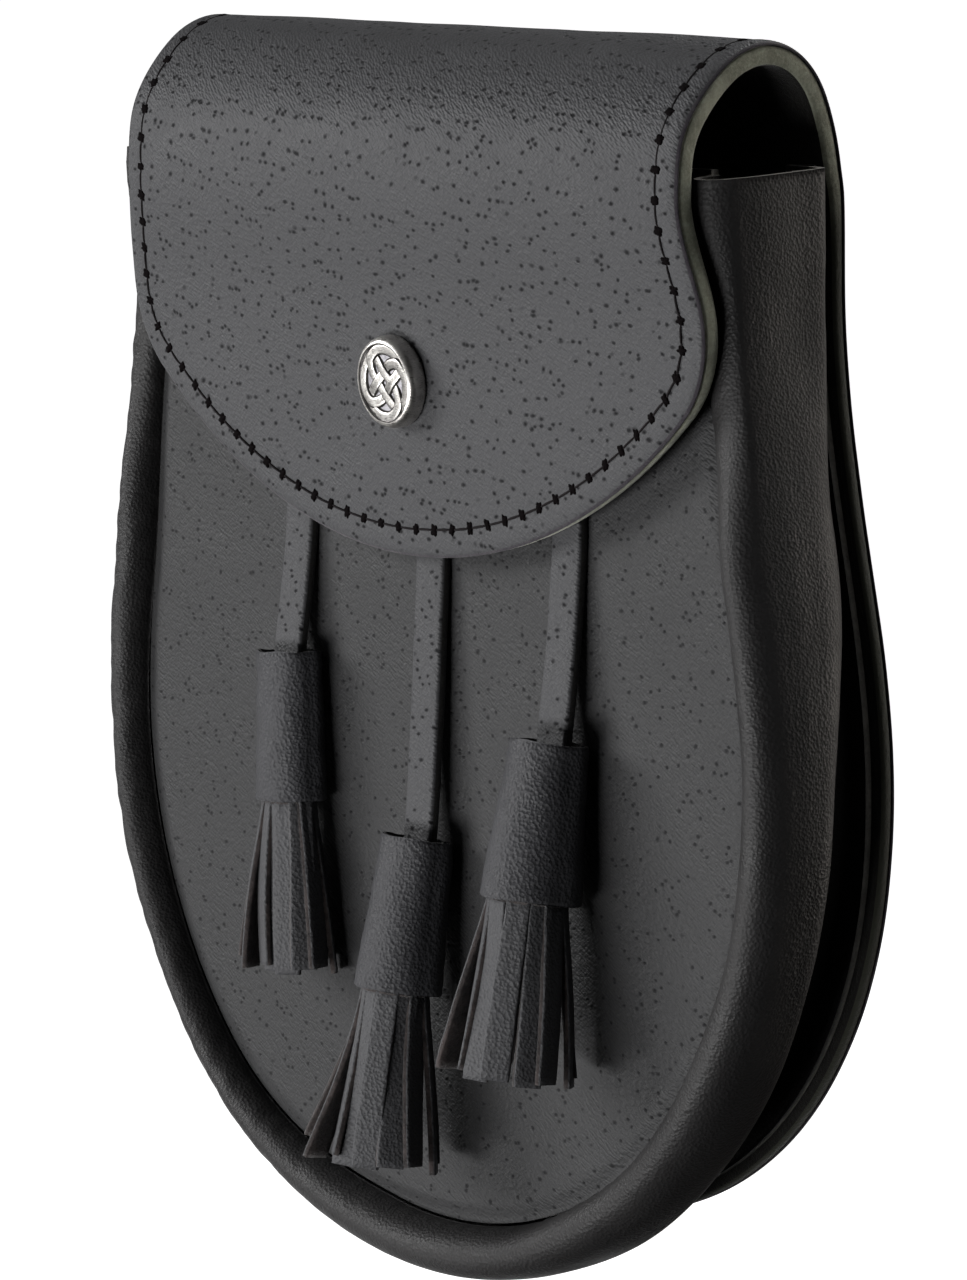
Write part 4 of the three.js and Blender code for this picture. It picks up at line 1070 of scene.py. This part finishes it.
def fringe_strip(tassel, row, spread, seed, rng):
    """A strip's spine, its directions across and outwards, and its widths, in the tassel's own frame."""
    angle, flare, twist, share = row
    angle = math.radians(angle + rng.uniform(-4, 4))
    a, b = collar_halves(tassel, COLLAR_LENGTH, COLLAR_WALL + STRIP_CLEAR + FRINGE_THICK / 2)
    length = FRINGE_LENGTH * share * (1 + rng.uniform(-0.02, 0.02))
    outward = unit(np.array([b * math.cos(angle), a * math.sin(angle), 0.0]))
    sideways = np.array([-outward[1], outward[0], 0.0])
    t = np.linspace(-0.16, 1, 26)
    along = np.clip(t, 0, 1)
    bow = rng.uniform(-0.5, 0.9) * np.sin(np.pi * along)
    off = flare * spread * along ** 1.35 * (1.2 - 0.2 * along) + bow - STRIP_CLEAR * (t < 0)
    spine = np.array([a * math.cos(angle), b * math.sin(angle), 0.0]) + outward * off[:, None]
    spine[:, 2] = -COLLAR_LENGTH - length * t
    spine += sideways * (rng.uniform(-0.9, 0.9) * along ** 1.5)[:, None]
    turn_by = np.radians(twist * spread * along ** 1.2 + rng.uniform(-3, 3) * along)[:, None]
    across = sideways * np.cos(turn_by) + outward * np.sin(turn_by)
    out = unit(np.cross(across, unit(np.gradient(spine, axis=0))))
    out *= np.sign(out @ outward)[:, None]
    widths = STRIP_WIDTH * (0.9 + 0.18 * along) * (1 + 0.05 * smooth_noise(spine, 5, seed))
    widths[-1] *= 0.94
    return spine, across, out, widths


def build_fringe(name, tassel, spread, seed):
    turn, top, _ = tassel_frame(tassel)
    rng = np.random.default_rng(seed)
    build = Builder()
    for row in STRIPS:
        spine, across, out, widths = fringe_strip(tassel, row, spread, seed, rng)
        spine = spine @ turn.T + top
        across, out = across @ turn.T, out @ turn.T
        clear = -PANEL_DEPTH - STRIP_CLEAR - FRINGE_THICK / 2 - np.abs(across[:, 1]) * widths / 2
        spine[:, 1] -= np.maximum(0, spine[:, 1] - clear)
        sweep_strip(build, spine, out, across, widths, FRINGE_THICK, (rng.uniform(0, 90), 0))
    add_head(build, tassel, turn, top)
    build.finish(f"fringe_{name}_skin", [STRIP_SKIN, FLESH], ["fringe_" + name], "fringe_leather")


def add_head(build, tassel, turn, top):
    """The rolled head that the strips are cut from, inside the collar."""
    sides = 32
    angles = np.linspace(0, 2 * np.pi, sides, endpoint=False)
    rings, middles = [], []
    for below in (COLLAR_LENGTH - HEAD_LENGTH, COLLAR_LENGTH + 0.4):
        a, b = collar_halves(tassel, below, COLLAR_WALL + 0.25)
        rings.append(np.column_stack([a * np.cos(angles), b * np.sin(angles), np.full(sides, -below)]))
        middles.append(np.array([0, 0, -below]) @ turn.T + top)
    start = build.grid(np.array(rings) @ turn.T + top, slot=1, wrap_columns=True)
    build.cap(range(start, start + sides), middles[0], 1)
    build.cap(range(start + sides, start + 2 * sides), middles[1], 1, turn=True)


# Belt loops

LOOP_ROWS = [(0, 0), (0.5, 0), (0.75, 0.3), (1, 0.85), (1.3, 1)]


def build_belt_loop(name, side):
    half = LOOP["height"] / 2
    rows = [(half - along * LOOP["seat"], GAP + rise * LOOP["gap"]) for along, rise in LOOP_ROWS]
    rows += [(-z, y) for z, y in rows[::-1]]
    line = soften(np.array(rows), 90)
    x = np.full(len(line), float(side * LOOP["across"]))
    spine = np.column_stack([x, line[:, 1] + LOOP["thick"] / 2, line[:, 0]])
    across = np.broadcast_to(np.array([1.0, 0, 0]), spine.shape)
    along = unit(np.gradient(spine, axis=0))
    out = unit(np.cross(along, across))
    out *= np.sign(out[:, 1:2])
    build = Builder()
    widths = np.full(len(spine), float(LOOP["width"]))
    sweep_strip(build, spine, out, across, widths, LOOP["thick"], (side * 40, 30))
    node = "hanger_loop_" + name
    build.finish(node + "_skin", [STRAP_SKIN, OLIVE_SPLIT], [node], "loop_leather")


def build_loop_stitching(name, side):
    threads = Builder()
    half = LOOP["height"] / 2
    rear = GAP + LOOP["thick"]
    inset = 2.2
    for way in (1, -1):
        ends = [(side * LOOP["across"] + w * (LOOP["width"] / 2 - inset), rear, way * (half - inset))
                for w in (-1, 1)]
        marks = respace(np.array(ends), 2.8)
        outs = np.broadcast_to(np.array([0.0, 1.0, 0.0]), marks.shape)
        stitch_run(threads, marks, outs, 40 + way, 0.05, 0.7)
    threads.finish("hanger_stitching_" + name, [THREAD, HOLE_SHADE], [], "loop_leather")


# Stage, light and camera

def build_stage():
    """A pale floor that the object hangs above. It glows evenly, and doesn't light the object."""
    mesh = bpy.data.meshes.new("floor")
    corners = [(x * FLOOR_HALF, y * FLOOR_HALF, FLOOR_Z) for x, y in ((-1, -1), (1, -1), (1, 1), (-1, 1))]
    mesh.from_pydata(corners, [], [(0, 1, 2, 3)])
    floor = bpy.data.objects.new("floor", mesh)
    bpy.context.scene.collection.objects.link(floor)
    n = Material("pale_floor", (0.93, 0.93, 0.93), 0.9, specular=0.0)
    n.set(**{"Emission Color": WHITE, "Emission Strength": 1.0})
    mesh.materials.append(n.material)
    floor.visible_diffuse = False
    floor.visible_glossy = False


def build_world():
    """A soft studio: bright to the front left and above, dim to the right, and white where it is seen."""
    world = bpy.data.worlds.new("studio")
    bpy.context.scene.world = world
    world.use_nodes = True
    n = Nodes(world.node_tree)
    n.tree.nodes.clear()
    place = n.new("ShaderNodeTexCoord", {}).outputs["Generated"]
    inputs = {0: place, 1: Vector(SKY_TOWARD).normalized()}
    facing = n.new("ShaderNodeVectorMath", inputs, operation="DOT_PRODUCT").outputs["Value"]
    bright = n.step(facing, -0.1, 1.0, SKY_DIM, SKY_BRIGHT)
    light = n.new("ShaderNodeBackground", {0: SKY_COLOR, 1: bright}).outputs[0]
    seen = n.new("ShaderNodeBackground", {0: WHITE, 1: 1.0}).outputs[0]
    is_seen = n.new("ShaderNodeLightPath", {}).outputs["Is Camera Ray"]
    mixed = n.new("ShaderNodeMixShader", {0: is_seen, 1: light, 2: seen}).outputs[0]
    n.new("ShaderNodeOutputWorld", {0: mixed})


def build_lights():
    for name, (at, size, power, color) in LIGHTS.items():
        data = bpy.data.lights.new(name, "AREA")
        data.shape = "RECTANGLE"
        data.size, data.size_y = size
        data.energy = power
        data.color = color
        light = bpy.data.objects.new(name, data)
        light.location = at
        light.rotation_euler = (Vector(LIGHT_AIM) - Vector(at)).to_track_quat("-Z", "Y").to_euler()
        bpy.context.scene.collection.objects.link(light)


def build_camera():
    data = bpy.data.cameras.new("photo_camera")
    data.sensor_width = SENSOR
    data.sensor_fit = "AUTO"
    longest = max(PHOTO_SIZE)
    data.lens = FOCAL_PIXELS * SENSOR / longest
    data.shift_x = (PHOTO_SIZE[0] / 2 - CENTRE_PIXEL[0]) / longest
    data.shift_y = (CENTRE_PIXEL[1] - PHOTO_SIZE[1] / 2) / longest
    data.dof.use_dof = False
    data.clip_start = 0.05
    data.clip_end = 200
    camera = bpy.data.objects.new("photo_camera", data)
    right, up = Vector(CAMERA_RIGHT).normalized(), Vector(CAMERA_UP).normalized()
    back = right.cross(up).normalized()
    turn = Matrix((right, up, back)).transposed().to_4x4()
    camera.matrix_world = Matrix.Translation(Vector(CAMERA_AT) * MM) @ turn
    bpy.context.scene.collection.objects.link(camera)
    bpy.context.scene.camera = camera


build_camera()
build_stage()
build_world()
build_lights()
build_leather()
build_panel()
build_gusset()
build_flap_stitching()
build_stud()
for number, (key, row) in enumerate(TASSELS.items()):
    build_strap(key, row)
    build_collar(key, row)
    build_fringe(key, row, FRINGE_SPREADS[number], 21 + number)
for key, way in (("left", -1), ("right", 1)):
    build_belt_loop(key, way)
    build_loop_stitching(key, way)
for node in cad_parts.values():
    for place in node.material_slots:
        place.material = NICKEL

bpy.context.scene.view_settings.view_transform = "Standard"
